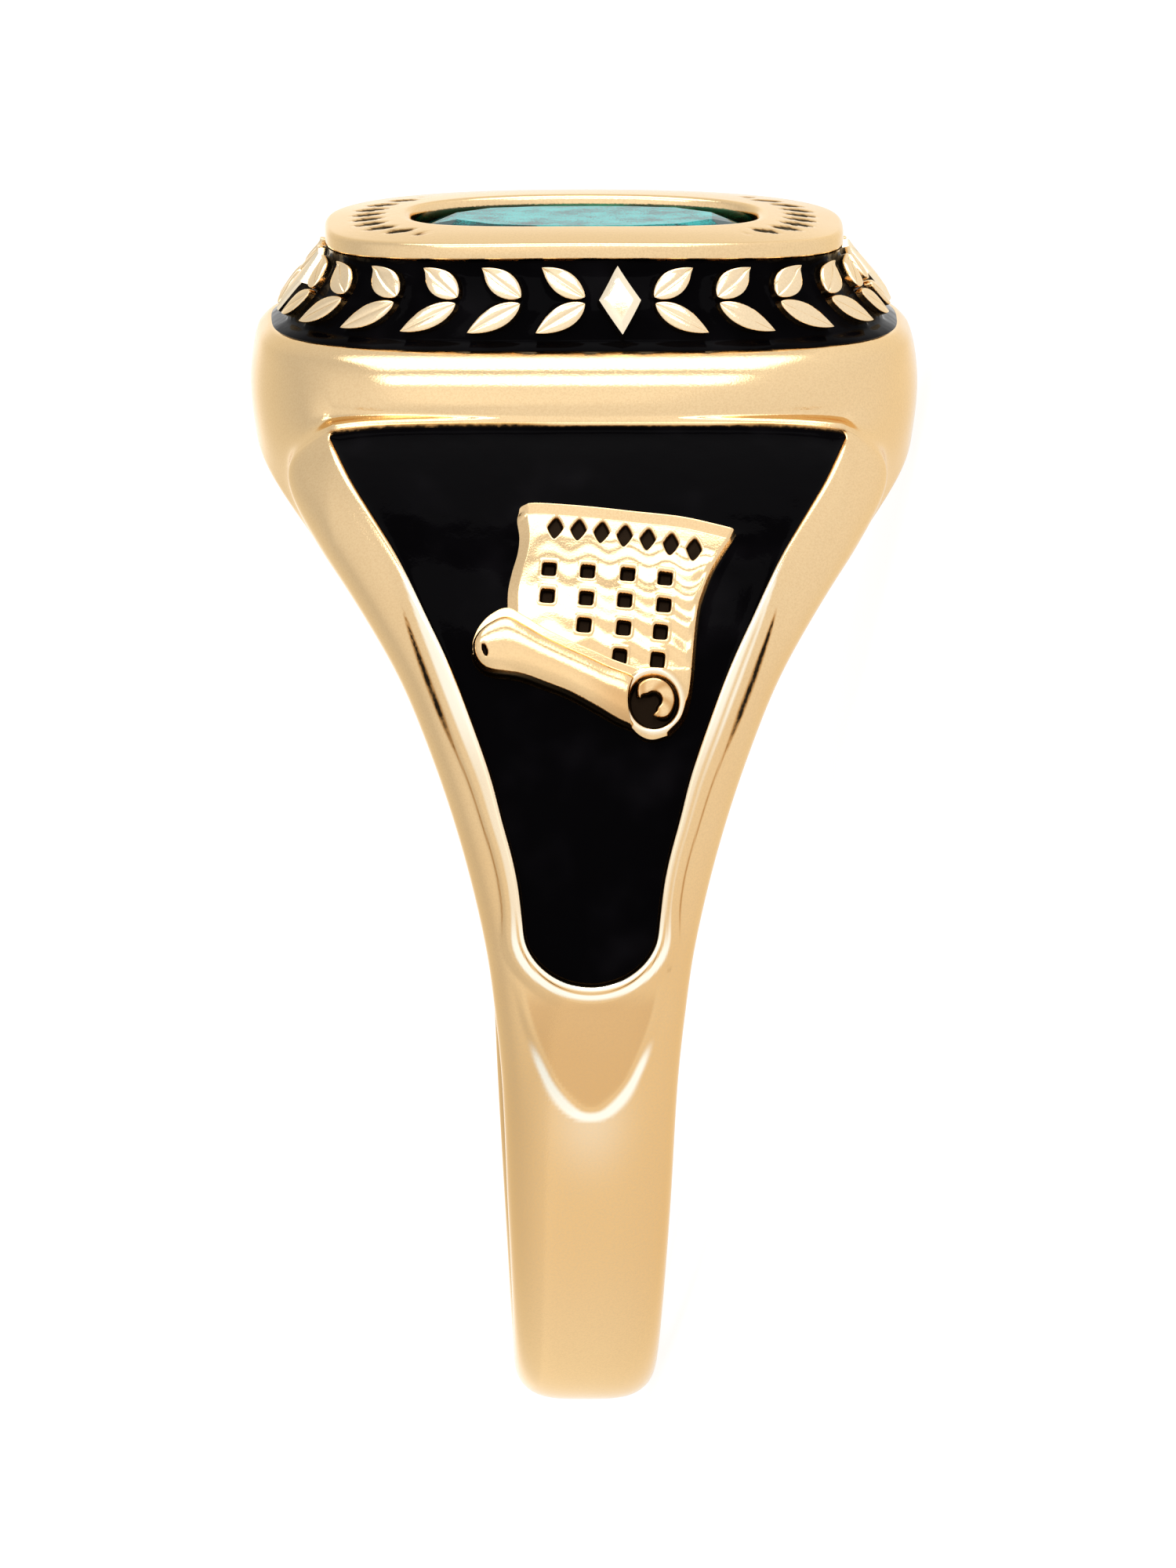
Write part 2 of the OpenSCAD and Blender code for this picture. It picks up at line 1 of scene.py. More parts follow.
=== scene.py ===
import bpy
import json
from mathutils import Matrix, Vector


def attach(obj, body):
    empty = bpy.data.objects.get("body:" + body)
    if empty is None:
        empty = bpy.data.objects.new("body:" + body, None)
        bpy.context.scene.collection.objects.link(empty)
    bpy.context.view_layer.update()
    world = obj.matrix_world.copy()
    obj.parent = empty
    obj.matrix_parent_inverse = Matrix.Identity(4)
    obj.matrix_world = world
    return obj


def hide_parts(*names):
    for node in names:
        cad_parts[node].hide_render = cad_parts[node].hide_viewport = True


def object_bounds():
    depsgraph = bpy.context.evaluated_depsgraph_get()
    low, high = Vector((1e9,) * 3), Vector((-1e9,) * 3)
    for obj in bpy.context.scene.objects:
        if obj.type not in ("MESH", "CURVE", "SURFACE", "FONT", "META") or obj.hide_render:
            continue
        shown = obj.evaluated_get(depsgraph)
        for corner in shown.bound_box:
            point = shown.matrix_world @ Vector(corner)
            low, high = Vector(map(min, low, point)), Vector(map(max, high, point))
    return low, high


bl_info = {
    "name": "Class Ring",
    "version": (1, 0, 0),
    "blender": (4, 5, 0),
    "location": "View3D > Sidebar > Class Ring",
    "description": "Dresses the solid model of a gold class ring: castings, enamel, stone and studio",
    "category": "Add Mesh",
}

import json
import math

import bmesh
import bpy
import numpy as np
from bpy.props import FloatProperty, FloatVectorProperty, PointerProperty
from mathutils import Matrix, Vector

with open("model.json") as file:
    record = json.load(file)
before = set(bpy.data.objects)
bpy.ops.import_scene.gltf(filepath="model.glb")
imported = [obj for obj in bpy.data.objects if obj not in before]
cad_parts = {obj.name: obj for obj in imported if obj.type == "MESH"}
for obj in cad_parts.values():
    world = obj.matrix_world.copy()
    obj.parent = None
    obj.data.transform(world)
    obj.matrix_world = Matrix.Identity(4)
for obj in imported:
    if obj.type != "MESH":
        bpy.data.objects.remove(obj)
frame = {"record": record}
CAD_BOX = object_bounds()
MM = 0.001

# The finger hole's axis leans by the tilt at which the ring rests on its side.
HOLE_AXIS = frame["record"]["mounts"][0]["axis"]
REST = Matrix.Rotation(math.atan2(-HOLE_AXIS[1], HOLE_AXIS[2]), 4, "X")

# Height over the hole's middle as a share of its radius, and share of the width gained there
OUTLINE = [
    (-1.2, 0), (-0.9, 0.024), (-0.6, 0.05), (-0.3, 0.074), (-0.1, 0.109), (0, 0.133), (0.15, 0.188),
    (0.3, 0.259), (0.45, 0.348), (0.6, 0.457), (0.75, 0.611), (0.87, 0.757), (0.96, 0.88), (1.02, 0.957),
    (1.09, 1), (1.6, 1),
]
# Angle from the bezel, and share of the thickness gained there
SHOULDERS = [
    (0, 1), (30, 1), (40, 0.86), (50, 0.74), (60, 0.59), (70, 0.42), (80, 0.3), (90, 0.23), (100, 0.17),
    (115, 0.1), (135, 0.04), (155, 0), (180, 0),
]
# Share of a panel's length from its top, and share of its half width there
PANEL = [
    (0, 1), (0.105, 0.916), (0.184, 0.827), (0.268, 0.729), (0.371, 0.627), (0.456, 0.541), (0.553, 0.457),
    (0.645, 0.384), (0.719, 0.341), (0.777, 0.304), (0.834, 0.278), (1, 0.24),
]
# Height in the bolster, and how much of the step in to the band is taken there
BOLSTER = [(0, 0.16), (0.1, 0.04), (0.28, 0), (0.55, 0.14), (0.8, 0.45), (0.93, 0.76), (1, 1)]
# Height in the band, and how much of the step in to the plate is taken there
GROUND = [(0, 0), (0.42, 0.48), (0.8, 1), (0.96, 1)]
# How square the level rings of the head are: 2 is an ellipse, and more comes closer to a rectangle.
BOLSTER_SQUARE, PLATE_SQUARE, STONE_SQUARE = 3.3, 3.0, 2.7


def size(name, description, millimetres):
    return FloatProperty(
        name=name, description=description, default=millimetres * MM, unit="LENGTH", precision=5)


def colour(name, description, default):
    return FloatVectorProperty(
        name=name, description=description, default=default, subtype="COLOR", min=0, max=1)


class RING_PG_sizes(bpy.types.PropertyGroup):
    """The ring's main sizes, in the model's metres"""

    finger_r: size("Hole radius", "Radius of the finger hole", 8.65)
    shank_w: size("Shank width", "Width of the shank under the finger", 2.66)
    shank_t: size("Shank thickness", "Thickness of the shank under the finger", 1.5)
    shoulder_t: size("Shoulder thickness", "Thickness of the shoulders where they meet the head", 2.72)
    bolster_l: size("Bolster length", "Length of the bolster along the finger", 13.18)
    bolster_d: size("Bolster depth", "Depth of the bolster across the finger", 11.3)
    band_h: size("Band height", "Height of the enamelled band round the head", 1.72)
    band_relief: size("Raised work", "Height of the leaves over the band's ground", 0.32)
    plate_l: size("Plate length", "Length of the bezel plate", 10.16)
    plate_d: size("Plate depth", "Depth of the bezel plate", 8.1)
    opening_l: size("Opening length", "Length of the opening over the stone", 6.8)
    opening_d: size("Opening depth", "Depth of the opening over the stone", 4.5)
    enamel_sink: size("Enamel sink", "How far the enamel of the panels lies under the rim", 0.16)
    tongue_h: size("Tongue height", "Height of the tongue under each panel", 0.075)


class RING_PG_finish(bpy.types.PropertyGroup):
    """The colours of the ring's finishes"""

    gold: colour("Gold", "Colour of the polished gold", (0.8, 0.545, 0.285))
    # The dark colour of antiqued hollows, also used for painted shade in creases and recesses.
    patina_and_painted_light: colour("Patina", "Colour of the darkened hollows", (0.012, 0.007, 0.004))
    enamel: colour("Enamel", "Colour of the black enamel", (0.0008, 0.0006, 0.0009))
    stone: colour("Stone", "Colour of the cut stone", (0.005, 0.42, 0.4))
    gold_roughness: FloatProperty(
        name="Gold roughness", description="Roughness of the polished gold", default=0.1, min=0, max=1)


# ---- Curves and small helpers ----


def lerp(a, b, x):
    return a + (b - a) * x


def ease(low, high, x):
    """0 below low, 1 above high, smooth between."""
    t = np.clip((x - low) / (high - low), 0, 1)
    return t * t * (3 - 2 * t)


def bell(x, width):
    """1 where x is 0, and less on both sides of it."""
    return np.exp(-((x / width) ** 2))


def sin(a):
    return np.sin(np.radians(a))


def cos(a):
    return np.cos(np.radians(a))


def hermite(a, b, leaving, arriving, t):
    """From a to b, with a direction for leaving and one for arriving."""
    return (
        (2 * t**3 - 3 * t**2 + 1) * a + (t**3 - 2 * t**2 + t) * leaving
        + (3 * t**2 - 2 * t**3) * b + (t**3 - t**2) * arriving
    )


def spline(a, b, c, d, t):
    """From b to c, smoothly between the neighbours a and d."""
    return hermite(b, c, (c - a) / 2, (d - b) / 2, t)


def crowded(y):
    """Even steps from -1 to 1 made shorter towards both ends."""
    return y * (2 - np.abs(y))


def averaged(values, width, step=1.0, closed=True):
    """Values at even steps along a loop or a line, each averaged with its neighbours over a width."""
    reach = int(3 * width / step)
    kernel = np.exp(-0.5 * (np.arange(-reach, reach + 1) * step / width) ** 2)
    if closed:
        before, after = values[-reach:], values[:reach]
    else:
        before, after = 2 * values[0] - values[reach:0:-1], 2 * values[-1] - values[-2:-reach - 2:-1]
    padded = np.concatenate([before, values, after]).reshape(len(values) + 2 * reach, -1)
    columns = [np.convolve(column, kernel / kernel.sum(), mode="valid") for column in padded.T]
    return np.stack(columns, -1).reshape(values.shape)


def table_curve(rows, soft):
    """Reads a table smoothly, through every row. soft is how far along it neighbours are averaged."""
    x, y = np.array(rows, float).T
    rise = np.pad(np.array(rows, float), ((1, 1), (0, 0)), "edge")
    rise = rise[2:] - rise[:-2]
    slope = rise[:, 1] / rise[:, 0]
    fine = np.linspace(x[0], x[-1], 3001)
    i = np.clip(np.searchsorted(x, fine, side="right") - 1, 0, len(x) - 2)
    span = x[i + 1] - x[i]
    value = hermite(y[i], y[i + 1], span * slope[i], span * slope[i + 1], (fine - x[i]) / span)
    value = averaged(value, soft, fine[1] - fine[0], closed=False)
    return lambda v: np.interp(v, fine, value)


def around(a, r, z):
    """Points at an angle from the bezel, a radius from the finger's axis and a place along it."""
    a, r, z = np.broadcast_arrays(a, r, z)
    return np.stack([r * sin(a), r * cos(a), z], -1).astype(float)


def lengths(points, closed=False):
    """Length along a line at each of its points, and where it is closed at the first one again."""
    points = np.vstack([points, points[:1]]) if closed else points
    return np.concatenate([[0], np.cumsum(np.linalg.norm(np.diff(points, axis=0), axis=1))])


def points_at(places, s, line):
    """Points of a line at some lengths along it, s being those of its own points."""
    return np.stack([np.interp(places, s, column) for column in line.T], -1)


def resample(loop, marks, counts):
    """Points along a closed loop, evenly spaced between the marks, which are lengths along it."""
    s = lengths(loop, closed=True)
    ends = marks[1:] + [marks[0] + s[-1]]
    places = [np.linspace(a, b, n, endpoint=False) for a, b, n in zip(marks, ends, counts)]
    return points_at(np.concatenate(places) % s[-1], s, np.vstack([loop, loop[:1]]))


def soften(loop, step, width):
    """A closed loop with its corners rounded by averaging along it over a width."""
    return averaged(resample(loop, [0.0], [int(lengths(loop, closed=True)[-1] / step)]), width, step)


def smooth_loop(points, n):
    """A closed curve through points, as n points."""
    p = np.array(points, float)
    t = np.arange(n) * len(p) / n
    i = t.astype(int)
    return spline(*(p[(i + k) % len(p)] for k in (-1, 0, 1, 2)), (t - i)[:, None])


def through(points, n):
    """An open smooth curve through points, evenly spaced."""
    p = np.array(points, float)
    p = np.vstack([2 * p[0] - p[1], p, 2 * p[-1] - p[-2]])
    t = np.linspace(0, 1, 24, endpoint=False)[:, None]
    fine = np.vstack([*(spline(*p[i - 1:i + 3], t) for i in range(1, len(p) - 2)), p[-2:-1]])
    s = lengths(fine)
    return points_at(np.linspace(0, s[-1], n), s, fine)


def nearest(points, loop):
    """Distance from each of a grid of flat points to a closed loop of flat points."""
    flat = points.reshape(-1, 2)
    along = np.roll(loop, -1, axis=0) - loop
    best = np.full(len(flat), np.inf)
    for low in range(0, len(flat), 4000):
        p = flat[low:low + 4000, None, :]
        t = np.clip(((p - loop) * along).sum(-1) / np.maximum((along * along).sum(-1), 1e-12), 0, 1)
        best[low:low + 4000] = np.sqrt((((loop + t[..., None] * along) - p) ** 2).sum(-1).min(1))
    return best.reshape(points.shape[:-1])


def inside(points, loop):
    """Whether each of a grid of flat points lies inside a closed loop."""
    flat = points.reshape(-1, 2)
    within = np.zeros(len(flat), bool)
    for p, q in zip(loop, np.roll(loop, -1, axis=0)):
        crosses = (p[1] > flat[:, 1]) != (q[1] > flat[:, 1])
        rise = q[1] - p[1] if q[1] != p[1] else 1e-12
        within ^= crosses & (flat[:, 0] < (q[0] - p[0]) * (flat[:, 1] - p[1]) / rise + p[0])
    return within.reshape(points.shape[:-1])


def outwards(loop):
    """Unit normals of a closed flat loop, pointing out of it. Where points coincide there is none."""
    along = np.roll(loop, -1, axis=0) - np.roll(loop, 1, axis=0)
    n = np.stack([along[:, 1], -along[:, 0]], -1)
    n /= np.maximum(np.linalg.norm(n, axis=1), 1e-9)[:, None]
    area = (loop[:, 0] * np.roll(loop[:, 1], -1) - np.roll(loop[:, 0], -1) * loop[:, 1]).sum()
    return n if area > 0 else -n


def patch(foot, top, left, right, across, up):
    """Fills four curves with a grid of flat points, row by row from the foot to the top."""
    foot, top = through(foot, across), through(top, across)
    left, right = through(left, up), through(right, up)
    u = np.linspace(0, 1, across)[None, :, None]
    v = np.linspace(0, 1, up)[:, None, None]
    return (
        (1 - v) * foot[None] + v * top[None] + (1 - u) * left[:, None] + u * right[:, None]
        - (1 - u) * (1 - v) * foot[0] - u * (1 - v) * foot[-1] - (1 - u) * v * top[0] - u * v * top[-1]
    )


def rim_of(grid):
    """The closed outline of a grid of flat points."""
    return np.vstack([grid[0, :-1], grid[:-1, -1], grid[-1, :0:-1], grid[:0:-1, 0]])


# ---- The ring's form, in millimetres in its own frame ----


class RingForm:
    """The ring's surfaces: x across the finger, y towards the bezel and z along the finger."""

    def __init__(self, sizes):
        for name in RING_PG_sizes.__annotations__:
            setattr(self, name, getattr(sizes, name) / MM)
        # Half length along the finger and half depth across it of the parts of the head
        self.bolster = np.array([self.bolster_l, self.bolster_d]) / 2
        self.band = np.array([11.72, 9.2]) / 2
        self.plate = np.array([self.plate_l, self.plate_d]) / 2
        self.neck = self.plate - 0.18
        self.opening = np.array([self.opening_l, self.opening_d]) / 2
        # Radii, and heights over the middle of the finger hole
        self.hole_edge = 0.35
        self.side_r = self.finger_r + 0.72
        self.shoulder_r = self.finger_r + self.shoulder_t
        self.bolster_z = self.finger_r + 2.5
        self.plate_z = self.bolster_z + self.band_h
        self.plate_top = self.plate_z + 0.31
        self.plate_drop = 0.14
        self.lip_z = self.plate_top + 0.12
        self.table_z = self.lip_z - 0.11
        self.girdle_z = self.table_z - 0.42
        # Angles from the bezel, in degrees
        self.head_a = math.degrees(math.asin(self.bolster[1] / self.shoulder_r))
        self.panel_top = self.head_a + 0.14
        self.scroll_a = 55.0
        self.panel_tip = 93.3
        self.end_a = 113.0
        self.degree = math.radians(1) * self.shoulder_r
        self.bolster_foot = self.shoulder_r * cos(self.head_a)
        self.panel_w = self.bolster[0] - 1.49
        self.width_at = table_curve(OUTLINE, 0.03)
        self.thickness_at = table_curve(SHOULDERS, 1.6)
        self.panel_at = table_curve(PANEL, 0.015)
        self.step_in = table_curve(BOLSTER, 0.01)
        turn = np.linspace(90, -270, 721)
        along = lengths(self.band_ring(turn, 0.5))
        self.band_length = along[-1]
        self.band_turn = lambda s: np.interp(np.mod(s - 0.6, self.band_length), along, turn)

    def thickness(self, a):
        return self.thickness_at(np.abs(np.mod(np.asarray(a, float) + 180, 360) - 180))

    def half_width(self, a, r):
        return lerp(self.shank_w / 2, self.bolster[0], self.width_at(r * cos(a) / self.finger_r))

    def outer_r(self, a):
        return self.finger_r + lerp(self.shank_t, self.shoulder_t, self.thickness(a))

    def outside_r(self, a, x):
        square = lerp(3.6, 6.0, self.thickness(a))
        fall = np.power(np.clip(1 - np.power(np.abs(x), square), 0, 1), 1 / 2.2)
        return self.side_r + (self.outer_r(a) - self.side_r) * fall

    def skin(self, a, x, lift=0.0):
        """Outside of shank and shoulders at an angle and a share of the half width, lifted off it."""
        r = self.outside_r(a, x)
        return around(a, r + lift, self.half_width(a, r) * x)

    def share(self, a, z):
        """Share of the half width at a place along the finger."""
        x = z / self.half_width(a, self.outer_r(a))
        for _ in range(3):
            x = z / self.half_width(a, self.outside_r(a, np.clip(x, -0.999, 0.999)))
        return np.clip(x, -1, 1)

    def skin_z(self, a, z, lift=0.0):
        return self.skin(a, self.share(a, z), lift)

    def inside_strip(self, a):
        """From one side edge of a section, round the hole's inside, to the other side edge."""
        edge = self.finger_r + self.hole_edge
        b = self.half_width(a, edge)
        side = [(r, self.half_width(a, r)) for r in np.linspace(self.side_r, edge, 5)]
        side += [(edge - self.hole_edge * sin(t), b - self.hole_edge * (1 - cos(t)))
                 for t in np.linspace(0, 90, 9)[1:]]
        middle = [(self.finger_r, (b - self.hole_edge) * t) for t in (-0.66, -0.33, 0, 0.33, 0.66)]
        return np.stack([around(a, r, z) for r, z in [(r, -z) for r, z in side] + middle + side[::-1]], 1)

    def ring(self, a, half, square, z, drop=0.0):
        """A level ring round the head: half length and depth, squareness, height, and drop of its ends."""
        x, y = np.abs(sin(a)) / half[1], np.abs(cos(a)) / half[0]
        r = np.power(np.power(y, square) + np.power(x, square), -1 / square)
        along = r * cos(a)
        return np.stack([r * sin(a), z - drop * (along / self.plate[0]) ** 2, along], -1)

    def band_ring(self, a, h, out=0.0):
        """A ring of the band at a share of its height, and out from its ground."""
        step = np.interp(h, *zip(*GROUND))
        half = [lerp(band, neck, step) + out for band, neck in zip(self.band, self.neck)]
        z = self.bolster_z + self.band_h * h + out * 0.35
        return self.ring(a, half, PLATE_SQUARE, z, self.plate_drop * h)

    def band_point(self, along, up, out):
        """Point of the band: along it from the middle of the near side, up it, and out from its ground."""
        return self.band_ring(self.band_turn(along), 0.5 + up / self.band_h, out)

    def scroll_point(self, p, lift):
        """Point over a shoulder's face, across and up from the scroll's middle, in the photo's sense."""
        return self.skin_z(self.scroll_a - np.degrees(p[..., 1] / self.shoulder_r), -p[..., 0], lift)


# ---- Making meshes ----


def placed(name, data):
    """A new object of the scene."""
    made = bpy.data.objects.new(name, data)
    bpy.context.scene.collection.objects.link(made)
    return made


class Casting:
    """Grids of points that are welded into one mesh where they meet."""

    def __init__(self):
        self.points, self.values, self.faces, self.count = [], [], [], 0

    def grid(self, points, closed=False, value=0.0):
        rows, cols = points.shape[:2]
        index = np.arange(rows * cols).reshape(rows, cols) + self.count
        if closed:
            index = np.concatenate([index, index[:, :1]], 1)
        corners = [index[:-1, :-1], index[:-1, 1:], index[1:, 1:], index[1:, :-1]]
        self.faces.append(np.stack(corners, -1).reshape(-1, 4))
        self.points.append(points.reshape(-1, 3))
        self.values.append(np.broadcast_to(value, (rows, cols)).reshape(-1).astype(float))
        self.count += rows * cols

    def fan(self, loop, middle):
        """Closes a loop with triangles to a middle point."""
        n = len(loop)
        self.points.append(np.vstack([loop, middle]))
        self.values.append(np.zeros(n + 1))
        i, last = np.arange(n), np.full(n, n)
        self.faces.append(np.stack([i, (i + 1) % n, last, last], -1) + self.count)
        self.count += n + 1

    def turned(self):
        """The same, turned half round about the bezel's axis: what one shoulder has, the other has."""
        other = Casting()
        other.points = [p * np.array([-1, 1, -1]) for p in self.points]
        other.values, other.faces, other.count = self.values, self.faces, self.count
        return other

    def add(self, other):
        self.points += other.points
        self.values += other.values
        self.faces += [f + self.count for f in other.faces]
        self.count += other.count

    @staticmethod
    def blended(points, faces, share, times=240):
        """Moves each point towards the middle of its neighbours, as far as its share says."""
        pairs = np.vstack([faces[:, [k, (k + 1) % 4]] for k in range(4)])
        pairs = pairs[(pairs[:, 0] != pairs[:, 1]) & (share[pairs] > 0).any(1)]
        pairs = np.unique(np.sort(pairs, 1), axis=0)
        count = np.bincount(pairs.ravel(), minlength=len(points)).clip(1)[:, None]
        moving = share[:, None] * 0.6
        for _ in range(times):
            total = np.stack([
                np.bincount(pairs[:, 0], points[pairs[:, 1], k], len(points))
                + np.bincount(pairs[:, 1], points[pairs[:, 0], k], len(points)) for k in range(3)], -1)
            points = points + moving * (total / count - points) * (share[:, None] > 0)
        return points

    def make(self, name, material, sharp=None, blend=None):
        points, values, faces = (np.concatenate(part) for part in (self.points, self.values, self.faces))
        _, first, back = np.unique(
            np.round(points, 5) + 0.0, axis=0, return_index=True, return_inverse=True)
        points, values, faces = points[first], values[first], back.reshape(-1)[faces]
        kept = []
        for f in faces.tolist():
            f = [v for k, v in enumerate(f) if v != f[k - 1]]
            if len(f) > 2:
                kept.append(f)
        if blend:
            points = self.blended(points, faces, blend(points))
        mesh = bpy.data.meshes.new(name)
        mesh.from_pydata([tuple(p) for p in points * MM], [], kept)
        mesh.validate()
        # Per point: above 0 antiquing and painted shade, below 0 painted highlights.
        layer = mesh.attributes.new("patina_and_painted_light", "FLOAT", "POINT")
        layer.data.foreach_set("value", values.astype(np.float32))
        mesh.transform(REST)
        work = bmesh.new()
        work.from_mesh(mesh)
        bmesh.ops.recalc_face_normals(work, faces=work.faces)
        work.to_mesh(mesh)
        work.free()
        mesh.polygons.foreach_set("use_smooth", [True] * len(mesh.polygons))
        if sharp:
            mesh.set_sharp_from_angle(angle=math.radians(sharp))
        mesh.materials.append(material)
        piece = placed(name, mesh)
        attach(piece, "root")
        return piece


def form_of(context):
    return RingForm(context.scene.class_ring_sizes)


# ---- Shader maths and finishes ----


class Wire:
    """A node socket that takes part in plain arithmetic."""

    def __init__(self, book, socket):
        self.book, self.socket = book, socket

    def _do(self, operation, first, second):
        return self.book.node("ShaderNodeMath", {"operation": operation}, {0: first, 1: second})

    def __add__(self, other):
        return self._do("ADD", self, other)

    def __sub__(self, other):
        return self._do("SUBTRACT", self, other)

    def __rsub__(self, other):
        return self._do("SUBTRACT", other, self)

    def __mul__(self, other):
        return self._do("MULTIPLY", self, other)

    __radd__, __rmul__ = __add__, __mul__


class Nodes:
    """The shorthand that fills a node tree."""

    def __init__(self, tree):
        self.tree = tree

    def node(self, kind, settings=None, sockets=None, out=0):
        made = self.tree.nodes.new(kind)
        for name, value in (settings or {}).items():
            setattr(made, name, value)
        for name, value in (sockets or {}).items():
            self.put(made.inputs[name], value)
        return Wire(self, made.outputs[out])

    def put(self, socket, value):
        if isinstance(value, Wire):
            self.tree.links.new(value.socket, socket)
        else:
            socket.default_value = (*value, 1) if socket.type == "RGBA" else value

    def mix(self, share, a, b):
        return self.node("ShaderNodeMix", {"data_type": "RGBA"}, {0: share, 6: a, 7: b}, out=2)

    def place(self, scale=(1, 1, 1), turn=(0, 0, 0)):
        """Where a point lies on the piece itself, scaled and turned."""
        where = self.node("ShaderNodeTexCoord", out=3)
        return self.node("ShaderNodeMapping", None, {"Vector": where, "Scale": scale, "Rotation": turn})

    def noise(self, scale, detail=2.0, rough=0.5, stretch=(1, 1, 1)):
        return self.node(
            "ShaderNodeTexNoise", None,
            {"Vector": self.place(stretch), "Scale": scale, "Detail": detail, "Roughness": rough})

    def ramp(self, value, low, high):
        """0 below low, 1 above high, smooth between."""
        return self.node(
            "ShaderNodeMapRange", {"interpolation_type": "SMOOTHSTEP"},
            {"Value": value, "From Min": low, "From Max": high, "To Min": 0.0, "To Max": 1.0})

    def bump(self, height, strength, distance, under=None):
        sockets = {"Height": height, "Strength": strength, "Distance": distance}
        if under:
            sockets["Normal"] = under
        return self.node("ShaderNodeBump", None, sockets)


class Finish(Nodes):
    """A material, with its shader's sockets to set."""

    def __init__(self, name):
        self.material = bpy.data.materials.new(name)
        self.material.use_nodes = True
        super().__init__(self.material.node_tree)
        self.shader = self.tree.nodes["Principled BSDF"]

    def set(self, **sockets):
        for name, value in sockets.items():
            self.put(self.shader.inputs[name.replace("_", " ")], value)
        return self.material


def finish_named(context, name):
    """A finish is made once and shared by every piece that has it."""
    found = bpy.data.materials.get(name)
    return found or FINISHES[name](context.scene.class_ring_finish)


def polished_gold(colours):
    """Polished cast gold, with fine grain and polishing lines, antiqued hollows, and painted highlights,
    painted sheen and painted shade in its colour.
    """
    f = Finish("polished_gold")
    patina_and_painted_light = f.node("ShaderNodeAttribute", {"attribute_name": "patina_and_painted_light"}, out=2)
    cloudy = f.noise(300.0)
    height = f.node("ShaderNodeSeparateXYZ", None, {0: f.place(turn=(-REST.to_euler().x, 0, 0))}, out=1)
    grain = f.noise(24000.0, rough=0.7)
    lines = f.noise(9000.0, stretch=(1, 1, 0.06))
    specks = f.noise(5200.0, rough=0.7)
    gold = np.array(colours.gold)
    pale, warm = tuple(gold * (1, 1.07, 1.14)), tuple(gold * (0.95, 0.9, 0.78))
    amber, bright = (0.52, 0.27, 0.09), (1.0, 0.95, 0.8)
    # The head and the foot of the ring are painted paler than its middle, a painted sheen.
    foot = f.ramp(0 - height, 0.0055, 0.0098) * 0.8
    body = f.mix(f.ramp(height + (cloudy - 0.5) * 0.012, -0.003, 0.0085) + foot, warm, pale)
    body = f.mix(f.ramp(grain, 0.35, 0.7) * 0.5, body, tuple(gold * 0.86))
    # Above 0 the value runs over amber to dark, for antiquing and painted shade, and below 0 the metal is
    # painted bright, as painted highlights.
    tone = patina_and_painted_light + (specks - 0.5) * f.ramp(patina_and_painted_light, 0.2, 0.45) * 0.5
    dark = f.ramp(tone, 0.26, 0.6)
    metal = f.mix(f.ramp(0 - patina_and_painted_light, 0.05, 0.8), f.mix(f.ramp(tone, 0.06, 0.36), body, amber), bright)
    return f.set(
        Base_Color=f.mix(dark, metal, tuple(colours.patina_and_painted_light)),
        Metallic=1.0 - dark * 0.02,
        Roughness=dark * 0.38 + cloudy * 0.04 + grain * 0.05 + (colours.gold_roughness - 0.045),
        Specular_Tint=(1.0, 0.88, 0.68),
        Normal=f.bump(lines, 0.06, 0.00001, f.bump(grain, 0.2, 0.00001)),
    )


def black_enamel(colours):
    """Hard glossy enamel, poured: black, a little uneven, with a faint violet painted sheen in patches."""
    f = Finish("black_enamel")
    pool = f.noise(700.0)
    fine = f.noise(5200.0, 3.0, 0.6)
    violet_sheen = tuple(min(1.0, c * 2.5 + 0.0015) for c in colours.enamel)
    return f.set(
        Base_Color=f.mix(f.ramp(pool, 0.45, 0.85), tuple(colours.enamel), violet_sheen),
        Roughness=f.ramp(fine, 0.5, 0.9) * 0.16 + pool * 0.06 + 0.05,
        Specular_IOR_Level=0.012, IOR=1.45,
        Normal=f.bump(fine, 0.12, 0.00002, f.bump(pool, 0.35, 0.00012)),
    )


def cut_stone(colours):
    """Clear blue-green stone: every facet is painted lighter or darker, as painted light and shade, and
    fine painted glitter speckles it.
    """
    f = Finish("cut_stone")
    facet = f.node("ShaderNodeAttribute", {"attribute_name": "facet"}, out=2)
    painted_glitter = f.noise(30000.0, rough=0.8)
    clouds = f.noise(1500.0, rough=0.6)
    value = facet + (painted_glitter - 0.5) * 1.1 + (clouds - 0.5) * 0.8
    stone = np.array(colours.stone)
    deep, pale = tuple(stone * 0.1), tuple(0.19 + 0.5 * stone)
    return f.set(
        Base_Color=f.mix(f.ramp(value, 0.5, 1.0), f.mix(f.ramp(value, 0.1, 0.5), deep, tuple(stone)), pale),
        Roughness=painted_glitter * 0.06 + 0.02,
        Transmission_Weight=0.2, IOR=1.45, Specular_IOR_Level=0.015,
    )


def pale_floor(colours):
    """A pale ground, lit partly from within so that it stays as white as the photograph's."""
    f = Finish("pale_floor")
    grain = f.noise(60.0)
    return f.set(
        Base_Color=f.mix(grain, (0.17, 0.17, 0.17), (0.19, 0.19, 0.19)),
        Roughness=grain * 0.05 + 0.8, Specular_IOR_Level=0.1,
        Emission_Color=f.mix(grain, (0.98, 0.98, 0.98), (1.0, 1.0, 1.0)), Emission_Strength=0.9,
    )


FINISHES = {make.__name__: make for make in (polished_gold, black_enamel, cut_stone, pale_floor)}


# ---- Shoulders and panels ----

TOP_COLUMNS, SIDE_COLUMNS, TIP_COLUMNS = 104, 116, 64
FACE_ROWS = 50
FIRST_ROW = 0.03

